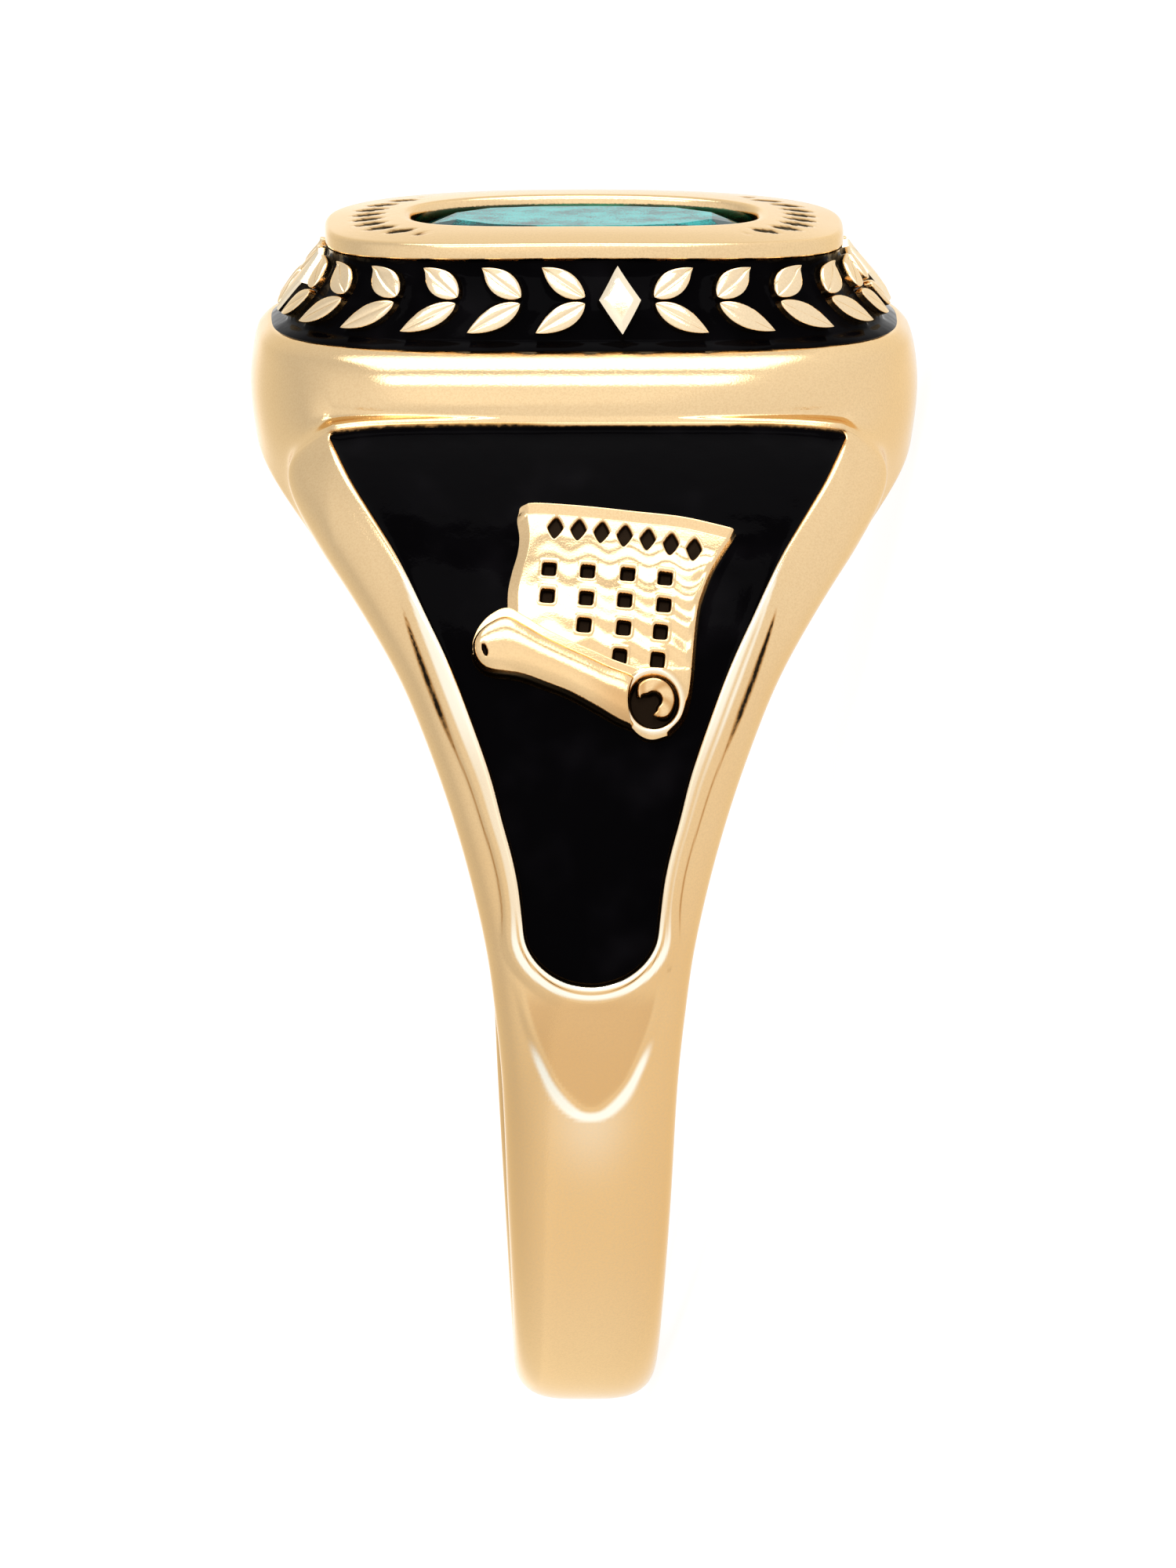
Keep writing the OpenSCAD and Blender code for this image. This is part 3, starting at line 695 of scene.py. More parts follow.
# Down the wall of a panel: how far in, how deep, and how dark it is along the sides and at the top
WALL = np.array([
    (0, 0, 0.1, 0.3), (0.02, 0.035, 0.16, 0.6), (0.04, 0.1, 0.25, 0.6), (0.055, 0.2, 0.5, 0.6),
    (0.07, 0.34, 0.6, 0.6), (0.085, 0.5, 0.6, 0.6),
])
# Angle from the bezel, and half width of the tongue there
TONGUE = [
    (90.0, 1.5), (94.0, 1.36), (97.6, 1.2), (101.5, 0.94), (104.5, 0.69), (106.6, 0.42), (107.7, 0.16),
]


def panel_outline(form):
    """The panel's outline as flat points: the angle as a length on the shoulder, and the place along z.
    It starts at the +z corner and goes along the top edge, down the -z side, round the tip and back.
    With it comes a finer one, to measure distances from."""
    round_a = 1.15 / form.degree
    round_at = form.panel_tip - round_a
    a = np.concatenate([
        np.linspace(form.panel_top, round_at, 500, endpoint=False),
        round_at + round_a * sin(np.linspace(0, 90, 160)),
    ])
    x = np.clip((a - round_at) / round_a, 0, 1)
    half = form.panel_w * form.panel_at((a - form.panel_top) / (form.panel_tip - form.panel_top))
    half = half * np.sqrt(1 - x * x)
    top = np.linspace(half[0], -half[0], 300, endpoint=False)
    fine = soften(np.vstack([
        np.stack([np.full_like(top, a[0] * form.degree), top], -1),
        np.stack([a * form.degree, -half], -1),
        np.stack([a * form.degree, half], -1)[-2:0:-1],
    ]), 0.01, 0.06)
    s = lengths(fine, closed=True)
    down, across = fine.T
    from_tip = np.abs(down - (form.panel_tip - round_a * 1.1) * form.degree)
    right, left, low, high = (s[int(np.argmin(want))] for want in (
        down - across, down + across,
        np.where(across < 0, from_tip, np.inf), np.where(across > 0, from_tip, np.inf)))
    marks = [right] + [m if m > right else m + s[-1] for m in (left, low, high)]
    return resample(fine, marks, [TOP_COLUMNS, SIDE_COLUMNS, TIP_COLUMNS, SIDE_COLUMNS]), fine[::6]


def face_lift(form, flat, distance):
    """How far the shoulder's face stands up at flat points, at a distance from the panel's outline, and
    how dark it is painted there, or below 0 how bright: painted shade and painted dark reflections, and
    painted highlights."""
    a, z = flat[..., 0] / form.degree, flat[..., 1]
    full, under, tip = ease(44.0, 62.0, a), ease(84.0, 91.0, a), ease(98.0, 103.0, a)
    beside = 1 - under
    wide = 0.1 + 0.26 * full - 0.12 * ease(64.0, 80.0, a) + 0.1 * under
    rolled = -0.04 * np.clip(1 - distance / 0.07, 0, 1) ** 2
    lip = (0.02 + 0.1 * full) * (1 - ease(wide, wide + 0.18, distance))
    lip = lip * (1 - 0.3 * (distance / wide).clip(0, 1) ** 2)

    loop = smooth_loop([(t * form.degree, w) for t, w in TONGUE + [(t, -w) for t, w in TONGUE[::-1]]], 160)
    edge = nearest(flat, loop) * np.where(inside(flat, loop), -1, 1)
    slope = np.clip(1 - edge / 0.15, 0, 1)
    slope = np.where(slope < 0.12, slope * slope / 0.24, slope - 0.06) / 0.94
    tongue = form.tongue_h * slope * ease(91.0, 98.5, a)

    # Painted highlight along the lip beside the panel and on the bevel round its tip, with a dark streak in
    # it as a painted reflection.
    streak = bell(distance - 0.55 * wide, 0.035) * ease(50.0, 57.0, a) * beside
    bright = lerp(0.6 * ease(43.0, 52.0, a), 0.85, under) * (1 - ease(wide * 0.7, wide * 0.92, distance))
    bright = bright * (1 - 0.75 * streak * ease(0.2, -0.2, z))
    bright = bright * (1 - 0.9 * under * bell(distance - 0.1, 0.025))
    bright = bright * (1 - 0.35 * ease(62.0, 72.0, a) * beside)
    # Painted dark slivers beside the lip and a painted dark line round the panel's tip: painted reflections
    # and shade.
    painted_dark_slivers = ease(51.0, 55.0, a) * (1 - 0.45 * ease(63.0, 69.0, a)) * beside
    thin = 0.025 + 0.03 * ease(52.0, 60.0, a) * (1 - ease(63.0, 69.0, a))
    painted_crease_shade = painted_dark_slivers * bell(distance - wide - 0.12, thin) + 0.9 * under * bell(distance - 0.1, 0.022)
    # Painted highlight on the tongue's rim and on the face below the tongue.
    painted_tongue_highlight = 0.9 * bell(edge - 0.09, 0.09 + 0.06 * ease(103.0, 107.0, a)) * tip
    painted_tongue_highlight = np.maximum(painted_tongue_highlight, 0.3 * highlight_under_tongue(a, z) * (edge > 0))
    tone = 0.62 * painted_crease_shade - np.maximum(bright, painted_tongue_highlight) * (1 - painted_crease_shade.clip(0, 1))
    tone = tone + 0.19 * (1 - ease(-0.12, 0.0, edge)) * ease(91.0, 96.0, a)
    return rolled + lip + tongue, tone


def highlight_under_tongue(a, z):
    """The painted highlight below the tongue."""
    return bell(a - 108, 10) * bell(z, 1.0)


def shoulder_face(form):
    """One shoulder's face with its recessed panel, from the head down to the shank."""
    loop, fine = panel_outline(form)
    side_a = np.linspace(form.head_a, form.end_a, SIDE_COLUMNS + 1)
    # The face's own edge, in the order of the panel's outline: its angles, and the places across it
    edge_a = np.concatenate([
        np.full(TOP_COLUMNS, form.head_a), side_a[:-1], np.full(TIP_COLUMNS, form.end_a), side_a[:0:-1]])
    edge_y = np.concatenate([
        np.linspace(1, -1, TOP_COLUMNS + 1)[:-1], np.full(SIDE_COLUMNS, -1.0),
        np.linspace(-1, 1, TIP_COLUMNS + 1)[:-1], np.full(SIDE_COLUMNS, 1.0)])
    edge_z = form.skin(edge_a, crowded(edge_y))[:, 2]
    a0 = loop[:, 0] / form.degree
    x0 = form.share(a0, loop[:, 1])
    y0 = np.sign(x0) * (1 - np.sqrt(1 - np.abs(x0)))

    # Rows run from the panel to the edge, and the first one is as narrow everywhere.
    length = np.hypot((edge_a - a0) * form.degree, edge_z - loop[:, 1])
    power = np.maximum(1.0, np.log(np.maximum(length, FIRST_ROW) / FIRST_ROW) / math.log(FACE_ROWS))
    t = (np.arange(FACE_ROWS + 1)[:, None] / FACE_ROWS) ** power
    a, y = lerp(a0, edge_a, t), lerp(y0, edge_y, t)
    flat = np.stack([a * form.degree, form.skin(a, crowded(y))[..., 2]], -1)
    distance = nearest(flat, fine)
    lift, tone = face_lift(form, flat, distance)
    lift = lift * (1 - ease(0.9, 1.0, np.abs(y))) * (1 - ease(form.end_a - 2, form.end_a, a))
    lift = lift * (1 - ease(form.panel_top, form.head_a, a))
    # Along the panel's upper edge the gold is darkened towards amber: partly a dark edge at the enamel,
    # partly painted shade that dims the rolled edge's reflection, less so at the glint.
    glint = (1 - ease(34.0, 36.0, a)) * (1 - ease(1.2, 2.6, np.abs(flat[..., 1] + 0.96)))
    tone = tone * (1 - ease(0.93, 1.0, np.abs(y)))
    tone = tone + (0.42 - 0.34 * glint) * np.exp(-distance / 0.05) * (1 - ease(42.0, 50.0, a))
    outer = form.skin(a, crowded(y), lift)

    cast = Casting()
    cast.grid(outer, closed=True, value=tone)
    down = []
    for inward, depth, _, _ in WALL:
        p = loop - outwards(loop) * inward
        down.append(form.skin_z(p[:, 0] / form.degree, p[:, 1], lift[0] - depth))
    down[0] = outer[0]
    # The wall is painted dark, as painted shade in the panel's recess.
    at_top = 1 - ease(form.panel_top + 0.2, form.panel_top + 1.5, a0)
    cast.grid(np.stack(down), closed=True, value=lerp(WALL[:, 2:3], WALL[:, 3:4], at_top))
    cast.fan(down[-1], form.skin_z(np.array([50.0]), np.array([0.0]), -WALL[-1, 1]))
    cast.grid(form.inside_strip(side_a))
    return cast


# ---- The casting ----

# From the top of the bolster over its ledge: how far in, and how high over the ledge
LEDGE = [(0.015, 0.0), (0.045, 0.012), (0.1, 0.01), (0.2, 0.0)]
# Up the edge of the plate: how far in, and how high over its underside
PLATE_EDGE = [(0.1, -0.02), (0.03, 0.0), (0.006, 0.015), (0, 0.05), (0, 0.1)]
# Down the seat under the lip: how far out from the opening, how far under the lip, and how dark it is
SEAT = [(0.08, 0.008, 0), (0.04, 0.03, 0), (0.0, 0.07, 0), (-0.015, 0.16, 0.1), (-0.03, 0.33, 0.4)]
# Under the stone: how far out from the opening, and how far over the girdle
UNDER_STONE = [(0.19, 0.03), (0.19, -0.13), (-1.6, -1.0), (-2.1, -1.85)]


class RING_OT_band(bpy.types.Operator):
    """Build the gold casting: shank, shoulders, bolster and bezel plate"""

    bl_idname = "ring.casting"
    bl_label = "Gold casting"

    cuts_round, cut_rows, cut_depth = 36, 18, 0.045
    side_columns = 60
    # Share of the bolster's height below which it is blended into the shoulders, and its rows there
    low, low_rows = 0.14, 12

    def execute(self, context):
        form = form_of(context)
        cast = Casting()
        face = shoulder_face(form)
        cast.add(face)
        cast.add(face.turned())
        self.add_shank(form, cast)
        rows, turn = self.head_rows(form)
        cast.grid(np.stack(rows), closed=True)
        lip = form.ring(turn, form.opening + 0.14, STONE_SQUARE, form.lip_z, form.plate_drop)
        plate, cut = self.plate_rows(rows[-1], lip)
        cast.grid(plate, closed=True, value=cut)
        self.add_seat(form, cast, plate[-1], turn)
        gold = finish_named(context, "polished_gold")
        piece = cast.make("ring_casting", gold, blend=lambda points: self.fillet(form, points))
        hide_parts("ring_body")
        return {"FINISHED"}

    @staticmethod
    def fillet(form, points):
        """How far each point is rounded off where the shoulders meet the ends of the bolster."""
        x, y, z = points.T
        up = y - form.bolster_foot
        share = ease(5.0, 5.6, np.abs(z)) * ease(-2.9, -2.1, up) * (1 - ease(0.5, 1.1, up))
        return share * ease(form.side_r - 0.5, form.side_r - 0.1, np.hypot(x, y))

    @staticmethod
    def add_shank(form, cast):
        """The shank's outside under the shoulders, its inside, and the inside under the head."""
        a = np.linspace(form.end_a, 360 - form.end_a, 100)
        y = np.linspace(1, -1, TIP_COLUMNS + 1)
        outer = form.skin(a[:, None], crowded(y))
        # Painted highlight on the shank below each tongue.
        cast.grid(outer, value=-0.3 * highlight_under_tongue(180 - np.abs(a - 180)[:, None], outer[..., 2]))
        cast.grid(form.inside_strip(a))
        cast.grid(form.inside_strip(np.linspace(-form.head_a, form.head_a, 61)))

    def head_rows(self, form):
        """The rows of the head, from the shoulders' edge to the plate's, and the turn of their columns."""
        arc = np.linspace(form.head_a, -form.head_a, self.side_columns + 1)
        across = crowded(np.linspace(1, -1, TOP_COLUMNS + 1))
        near = form.skin(np.full(TOP_COLUMNS + 1, form.head_a), across)
        side = around(arc, form.side_r, -form.half_width(arc, form.side_r))
        foot = np.vstack([near[:-1], side[:-1], near[:-1] * [-1, 1, -1], side[:-1] * [-1, 1, -1]])
        turn = np.degrees(np.unwrap(np.arctan2(foot[:, 0], foot[:, 2])))
        even = turn[0] + np.arange(len(turn)) * 360 / len(turn)
        turn = even + averaged(turn - even, 7)

        # The bolster leaves the shoulders upright, leaning towards its corners, and its ends lean out.
        on_face = np.tile(np.concatenate([np.ones(TOP_COLUMNS), np.zeros(self.side_columns)]), 2)[:, None]
        one, nil = np.ones(len(foot)), np.zeros(len(foot))
        lean = np.stack([-np.sign(foot[:, 0]) * cos(form.head_a), one * sin(form.head_a), nil], -1)
        plumb = np.stack([nil, one, nil], -1)
        steep = np.stack([nil, one, 0.45 * np.sign(foot[:, 2])], -1)
        beside = ease(form.panel_w - 0.1, form.panel_w + 0.9, np.abs(foot[:, 2]))[:, None]
        start = averaged(np.where(on_face > 0, lerp(plumb, lean, beside), steep), 5)

        ledge = form.band + form.band_relief

        def bolster(h):
            half = lerp(form.bolster, ledge, float(form.step_in(h)))
            return form.ring(turn, half, BOLSTER_SQUARE, lerp(form.bolster_foot, form.bolster_z, h))

        first = bolster(self.low)
        rise = (bolster(self.low + 0.01) - first) / 0.01 * self.low
        gap = np.linalg.norm(first - foot, axis=1)[:, None]
        rise = rise / np.linalg.norm(rise, axis=1)[:, None] * gap
        steps = np.linspace(0, 1, self.low_rows, endpoint=False)
        rows = [hermite(foot, first, start * gap, rise, t) for t in steps]
        rows += [bolster(h) for h in (*np.linspace(self.low, 0.9, 22), 0.93, 0.955, 0.975, 0.99)]
        rows += [form.ring(turn, ledge - inset, BOLSTER_SQUARE, form.bolster_z + over)
                 for inset, over in LEDGE]
        rows += [form.band_ring(turn, h) for h in (0.0, 0.2, 0.42, 0.6, 0.8, 0.92, 0.985)]
        edge = [(inset, form.plate_z + over) for inset, over in PLATE_EDGE]
        edge += [(0.11 * (1 - cos(t)), form.plate_top - 0.12 + 0.13 * sin(t)) for t in range(10, 90, 8)]
        rows += [form.ring(turn, form.plate - inset, PLATE_SQUARE, z, form.plate_drop) for inset, z in edge]
        return rows, turn

    def plate_rows(self, outer, lip):
        """The slightly domed top of the bezel plate, with small leaf cuts along its ends."""
        share = np.linspace(0, 1, self.cut_rows)[:, None, None]
        rows = lerp(outer[None], lip[None], share)
        rows[..., 1] += 0.02 * np.sin(np.linspace(0, math.pi, self.cut_rows))[:, None]
        along = lengths(rows[self.cut_rows // 2], closed=True)
        cell = along[-1] / self.cuts_round
        place = np.mod(along[:-1] / cell, 1.0) - 0.5
        up = (share[:, :, 0] - 0.52) * np.linalg.norm(lip - outer, axis=1)[None, :] / 0.34
        slim = np.clip(1 - np.abs(place * cell / 0.24) ** 1.4, 0, 1)[None, :]
        leaf, vein = ease(0.0, 0.25, slim - np.abs(up)), 1 - ease(0.0, 0.2, np.abs(up))
        cut = leaf * (1 - 0.3 * vein) * ease(3.0, 3.5, np.abs(rows[..., 2]))
        rows[..., 1] -= self.cut_depth * cut
        return rows, cut

    @staticmethod
    def add_seat(form, cast, lip, turn):
        """The wall of the opening and the hollow under the stone."""
        rows = [lip]
        for out, under, _ in SEAT:
            rows.append(form.ring(
                turn, form.opening + out, STONE_SQUARE, form.lip_z - under,
                form.plate_drop * (1 - ease(0.0, 0.33, under))))
        for out, over in UNDER_STONE:
            half = np.maximum(form.opening + out, 0.5)
            rows.append(form.ring(turn, half, STONE_SQUARE, form.girdle_z + over))
        shade = [0] + [dark for _, _, dark in SEAT] + [0.6] * len(UNDER_STONE)
        cast.grid(np.stack(rows), closed=True, value=np.array(shade)[:, None])
        cast.fan(rows[-1], np.array([[0, form.girdle_z + UNDER_STONE[-1][1], 0]]))


# ---- Raised work on the band ----


class RING_OT_raised_work(bpy.types.Operator):
    """Build the leaves and the diamonds that stand up in the band"""

    bl_idname = "ring.raised_work"
    bl_label = "Leaves and diamonds"

    leaf_l, leaf_w, leaf_turn, leaf_step = 1.0, 0.46, 33.0, 1.05
    diamond_w, diamond_h = 0.8, 1.34
    # From the ground up over a leaf: share of its width, and height over the band's raised work
    leaf_rows = (
        (1.0, -0.06), (0.97, -0.02), (0.9, 0.004), (0.75, 0.012), (0.5, 0.016), (0.28, 0.016), (0.1, 0.008),
        (0.0, -0.012),
    )
    diamond_rows = ((1.0, -0.05), (0.95, 0.0), (0.9, 0.01), (0.6, 0.05), (0.57, 0.052))

    @classmethod
    def leaves(cls, form):
        """Foot and direction of every leaf, as length along the band, height on it and turn."""
        quarter = form.band_length / 4
        first = cls.diamond_w / 2 + 0.24
        run = quarter - 2 * first - cls.leaf_l * cos(cls.leaf_turn)
        pairs = int(run // cls.leaf_step)
        for side in (0, 2 * quarter):
            for way in (1, -1):
                for i in range(pairs + 1):
                    for up in (1, -1):
                        turn = up * cls.leaf_turn if way > 0 else 180 - up * cls.leaf_turn
                        yield side + way * (first + i * run / pairs), up * 0.06, turn

    @classmethod
    def leaf_outline(cls, n):
        """A leaf's outline as places along it from its foot and across it, round its tip and back."""
        x = 0.5 - 0.5 * np.cos(np.linspace(0, math.pi, n))
        half = cls.leaf_w / 2 * np.sin(math.pi * x**0.86) ** 0.78
        half[[0, -1]] = 0
        x = cls.leaf_l * x
        return np.concatenate([x[:-1], x[:0:-1]]), np.concatenate([half[:-1], -half[:0:-1]])

    @staticmethod
    def on_band(leaf, x, y):
        """Places of a leaf's points along the band and up it."""
        along, up, turn = leaf
        return along + x * cos(turn) - y * sin(turn), up + x * sin(turn) + y * cos(turn)

    def execute(self, context):
        form = form_of(context)
        gold = finish_named(context, "polished_gold")
        top = form.band_relief
        over = [(share, top + height) for share, height in self.leaf_rows]
        leaves = Casting()
        x, y = self.leaf_outline(20)
        low = 0.03 * (1 - np.sin(math.pi * np.clip(x / self.leaf_l, 0, 1)))
        for leaf in self.leaves(form):
            rows = []
            for share, out in [(1.1, -0.12), (1.03, 0.12), *over]:
                grown = max(share - 1, 0) * 0.5
                at = self.on_band(leaf, lerp(x, 2 * x - self.leaf_l / 2, grown), y * share)
                rows.append(form.band_point(*at, out - low * (share < 1.0)))
            # The leaves' feet are darker, and their tops are painted paler, as a painted highlight.
            leaves.grid(np.stack(rows), closed=True, value=np.array([0.5, 0.35] + [-0.28] * 8)[:, None])
        piece = leaves.make("leaf_sprays", gold)

        diamonds = Casting()
        w, h = self.diamond_w / 2, self.diamond_h / 2
        corners = np.array([(w, 0), (0, -h), (-w, 0), (0, h), (w, 0)])
        side = np.linspace(0, 1, 7)[:-1, None]
        loop = np.concatenate([lerp(p, q, side) for p, q in zip(corners, corners[1:])])
        over = [(share, top + height) for share, height in self.diamond_rows]
        for i in range(4):
            along = i * form.band_length / 4
            rows = [form.band_point(along + loop[:, 0] * share, loop[:, 1] * share, out)
                    for share, out in [(1.08, -0.12), *over]]
            # The diamonds are painted paler, as a painted highlight.
            diamonds.grid(np.stack(rows), closed=True, value=-0.45)
            diamonds.fan(rows[-1], form.band_point(np.array([along]), np.array([0.0]), top + 0.053))
        piece = diamonds.make("band_diamonds", gold, sharp=16)
        return {"FINISHED"}


# ---- Scrolls ----

# Edges of a scroll over a shoulder, in millimetres across and up from the middle of its emblem
SHEET_TOP = [
    (-1.37, 2.68), (-1.34, 2.76), (-1.24, 2.77), (-0.98, 2.78), (-0.1, 2.67), (0.87, 2.53), (1.79, 2.42),
    (2.46, 2.27), (2.87, 2.17),
]
SHEET_RIGHT = [
    (1.54, -2.28), (1.8, -1.97), (1.93, -1.57), (2, -1.1), (2.04, -0.63), (2.08, -0.15), (2.15, 0.43),
    (2.26, 0.84), (2.41, 1.27), (2.64, 1.75), (2.87, 2.17),
]
SHEET_LEFT = [
    (-1.6, 0.37), (-1.59, 0.84), (-1.51, 1.27), (-1.4, 1.7), (-1.36, 2.1), (-1.4, 2.51), (-1.37, 2.68),
]
SHEET_FOOT = [
    (-1.6, 0.37), (-1.37, -0.35), (-0.5, -0.98), (0.3, -1.55), (0.7, -2.02), (0.95, -2.29), (1.21, -2.38),
    (1.54, -2.28),
]
ROLL_TOP = [
    (-2.29, -0.49), (-2.27, -0.29), (-2.15, -0.01), (-1.93, 0.23), (-1.61, 0.37), (-1.26, 0.18),
    (-0.89, -0.07), (-0.41, -0.33), (0.1, -0.57), (0.47, -0.75), (0.84, -0.89), (0.99, -0.97),
]
ROLL_LOW = [
    (-2.29, -0.49), (-2.26, -0.67), (-2.12, -0.87), (-1.9, -0.98), (-1.38, -1.07), (-0.86, -1.27),
    (-0.42, -1.46), (0.1, -1.76), (0.47, -1.99), (0.8, -2.15),
]
ROLL_END = [(0.8, -2.15), (0.73, -1.88), (0.71, -1.62), (0.74, -1.39), (0.84, -1.12), (0.99, -0.97)]
# Middles of the square pits and of the lozenges over them
PITS = [
    (-0.79, 1.27), (-0.04, 1.2), (0.74, 1.13), (1.47, 1.04), (-0.83, 0.67), (-0.07, 0.6), (0.68, 0.55),
    (1.44, 0.45), (-0.12, 0.02), (0.65, -0.05), (1.37, -0.13), (0.57, -0.65), (1.31, -0.72),
]
LOZENGES = [
    (-0.66, 2.25), (-0.21, 2.19), (0.24, 2.12), (0.69, 2.04), (1.14, 1.95), (1.59, 1.85), (2.04, 1.74),
]
# Of a pit and of a lozenge: half width, half height, squareness and depth
PIT, LOZENGE = (0.13, 0.152, 6, 0.16), (0.15, 0.27, 1.25, 0.1)
CURL = (1.23, -1.61)
# Down the edge of a scroll: how far out, how deep, and how dark it is
SCROLL_EDGE = np.array([
    (0, 0, 0), (0.012, 0.02, 0), (0.02, 0.08, 0.25), (0.024, 0.3, 0.5), (0.024, 0.48, 0.6),
])


def sheet_patch(across, up):
    return patch(SHEET_FOOT, SHEET_TOP, SHEET_LEFT, SHEET_RIGHT, across, up)


class RING_OT_scrolls(bpy.types.Operator):
    """Build the rolled sheet that stands on each shoulder"""

    bl_idname = "ring.scrolls"
    bl_label = "Scrolls"

    border, lean = 0.2, 0.1
    roll_columns, roll_rows = 150, 60

    def sheet(self):
        """The waved sheet with its folded border, pits, lozenges and curl: flat points, lift and tone."""
        flat = sheet_patch(190, 230)
        u, v = flat[..., 0], flat[..., 1]
        lines = [through(line, n) for line, n in ((SHEET_LEFT, 60), (SHEET_TOP, 60), (SHEET_RIGHT, 80))]
        left, top, right = (nearest(flat, np.vstack([line, line[::-1]])) for line in lines)
        low = np.minimum(left / self.border, right / 0.07)
        edge = np.minimum(low, top / self.border)
        lift = 0.1 * np.clip(low, 0, 1) + 0.1 * np.clip(1 - top / self.border, 0, 1) * ease(-0.1, 0.8, low)
        lift = lift - 0.018 * (u - 0.6) ** 2 - 0.01 * (v - 0.6) ** 2 * (v > -0.9)
        waves = np.sin(10.4 * (v + 0.09 * u) - 0.9 + 0.9 * np.sin(8.2 * u - 1.5))
        waves = (0.008 + 0.004 * u) * waves * ease(1.0, 2.2, edge)
        lift = lift + waves * ease(0.45, 0.8, top) * ease(-1.1, -0.5, v)
        mark = 0.1 * (1 - ease(0.8, 1.0, edge))

        for at, (w, h, square, depth) in [(p, PIT) for p in PITS] + [(p, LOZENGE) for p in LOZENGES]:
            x, y = u - at[0], v - at[1]
            x, y = x - self.lean * y, y + self.lean * x
            m = (np.abs(x / w) ** square + np.abs(y / h) ** square) ** (1 / square)
            within = 1 - ease(0.82, 1.12, m)
            lift = lift - depth * within + 0.012 * bell(m - 1.32, 0.16) * (square > 2)
            mark = np.maximum(mark, within)

        x, y = (u - CURL[0]) / 0.47, (v - CURL[1]) / 0.54
        rho, theta = np.hypot(x, y), np.degrees(np.arctan2(y, x))
        ground = 1 - ease(0.93, 1.06, rho)
        rim = bell(rho - 1.18, 0.14)
        path = 0.5 + 0.14 * ease(-90, 60, theta)
        thick = 0.33 * ease(-100, -40, theta) * (1 - 0.8 * ease(128, 165, theta)) + 0.001
        hook = (1 - ease(0.6, 1.15, np.abs(rho - path) / thick)) * (np.abs(theta - 35) < 128)
        lift = lift + 0.06 * rim - ground * 0.13 + hook * 0.2
        stain = 0.04 + 0.22 * np.sin(np.radians(2.5 * theta) + 3 * rho) ** 2
        # The ring round the curl is painted bright, as a painted highlight.
        mark = np.maximum(mark, ground * (1 - hook) + hook * stain * ground) - 0.45 * rim * (1 - ground)
        return flat, lift, mark

    def roll(self):
        """The round roll under the sheet, with the hole in its end: flat points, lift and tone."""
        flat = patch(ROLL_LOW, ROLL_TOP, [ROLL_LOW[0]] * 2, ROLL_END, self.roll_columns, self.roll_rows)
        v = np.linspace(0, 1, self.roll_rows)[:, None]
        u = np.linspace(0, 1, self.roll_columns)[None, :]
        bow = np.sqrt(np.clip(1 - (2 * np.clip(v / 0.84, 0, 1) - 1) ** 2, 0, 1))
        end = np.sqrt(np.clip(1 - (1 - np.clip((u - 0.035) / 0.11, 0, 1)) ** 2, 0, 1))
        x, y = flat[..., 0] + 2.06, flat[..., 1] + 0.62
        hole = 1 - ease(0.7, 1.2, np.hypot((x + 0.3 * y) / 0.05, (y - 0.3 * x) / 0.13))
        # The roll's lower end is painted amber, a painted reflection of the gold; its left end and upper
        # edge are tinted amber too.
        amber = 0.23 * ease(0.5, 1.0, u) * (1 - ease(0.4, 0.8, v))
        amber = amber + 0.1 * (1 - ease(0.0, 0.1, np.minimum(u * 2.2, 1 - v)))
        return flat, 0.11 + 0.29 * bow**0.9 * end - 0.12 * hole, np.maximum(hole, amber)

    def execute(self, context):
        form = form_of(context)
        scroll = Casting()
        for flat, lift, mark in (self.sheet(), self.roll()):
            scroll.grid(form.scroll_point(flat, lift), value=mark)
            loop, edge = rim_of(flat), rim_of(lift[..., None])[:, 0]
            walls = [form.scroll_point(loop + outwards(loop) * out, edge - depth)
                     for out, depth, _ in SCROLL_EDGE]
            scroll.grid(np.stack(walls), closed=True, value=SCROLL_EDGE[:, 2:])
        for name, part in (("scroll_near", scroll), ("scroll_far", scroll.turned())):
            piece = part.make(name, finish_named(context, "polished_gold"))
        return {"FINISHED"}


# ---- Enamel ----


class RING_OT_band_enamel(bpy.types.Operator):
    """Pour the black enamel round the raised work of the band"""

    bl_idname = "ring.band_enamel"
    bl_label = "Enamel of the band"

    columns, brim = 1100, 0.95

    def execute(self, context):
        form = form_of(context)
        s = np.arange(self.columns) * form.band_length / self.columns
        h = np.concatenate([
            np.linspace(0.0, 0.1, 9), np.linspace(0.12, 0.86, 24), np.linspace(0.88, self.brim, 5)])
        along, high = np.meshgrid(s, h)
        up = (high - 0.5) * form.band_h
        near = np.full(along.shape, 9.0)
        half = form.band_length / 2
        work = RING_OT_raised_work
        for leaf in work.leaves(form):
            loop = np.stack(work.on_band(leaf, *work.leaf_outline(9)), -1)
            centre = loop[:, 0].mean()
            gap = np.mod(along - centre + half, form.band_length) - half
            close = np.abs(gap) < 0.8
            flat = np.stack([gap[close], up[close]], -1)
            near[close] = np.minimum(near[close], nearest(flat, loop - [centre, 0]))
        meniscus = 0.05 * np.exp(-near / 0.06) + 0.05 * np.exp(-(self.brim - high) / 0.03)
        out = 0.12 + meniscus + 0.17 * (1 - ease(0.0, 0.09, high))
        points = form.band_point(along, up, out)
        points[..., 1] -= (0.35 * out + 0.012) * (1 - ease(0.0, 0.1, high))
        pour = Casting()
        pour.grid(points, closed=True)
        piece = pour.make("enamel_band", finish_named(context, "black_enamel"))
        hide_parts("band_enamel")
        return {"FINISHED"}


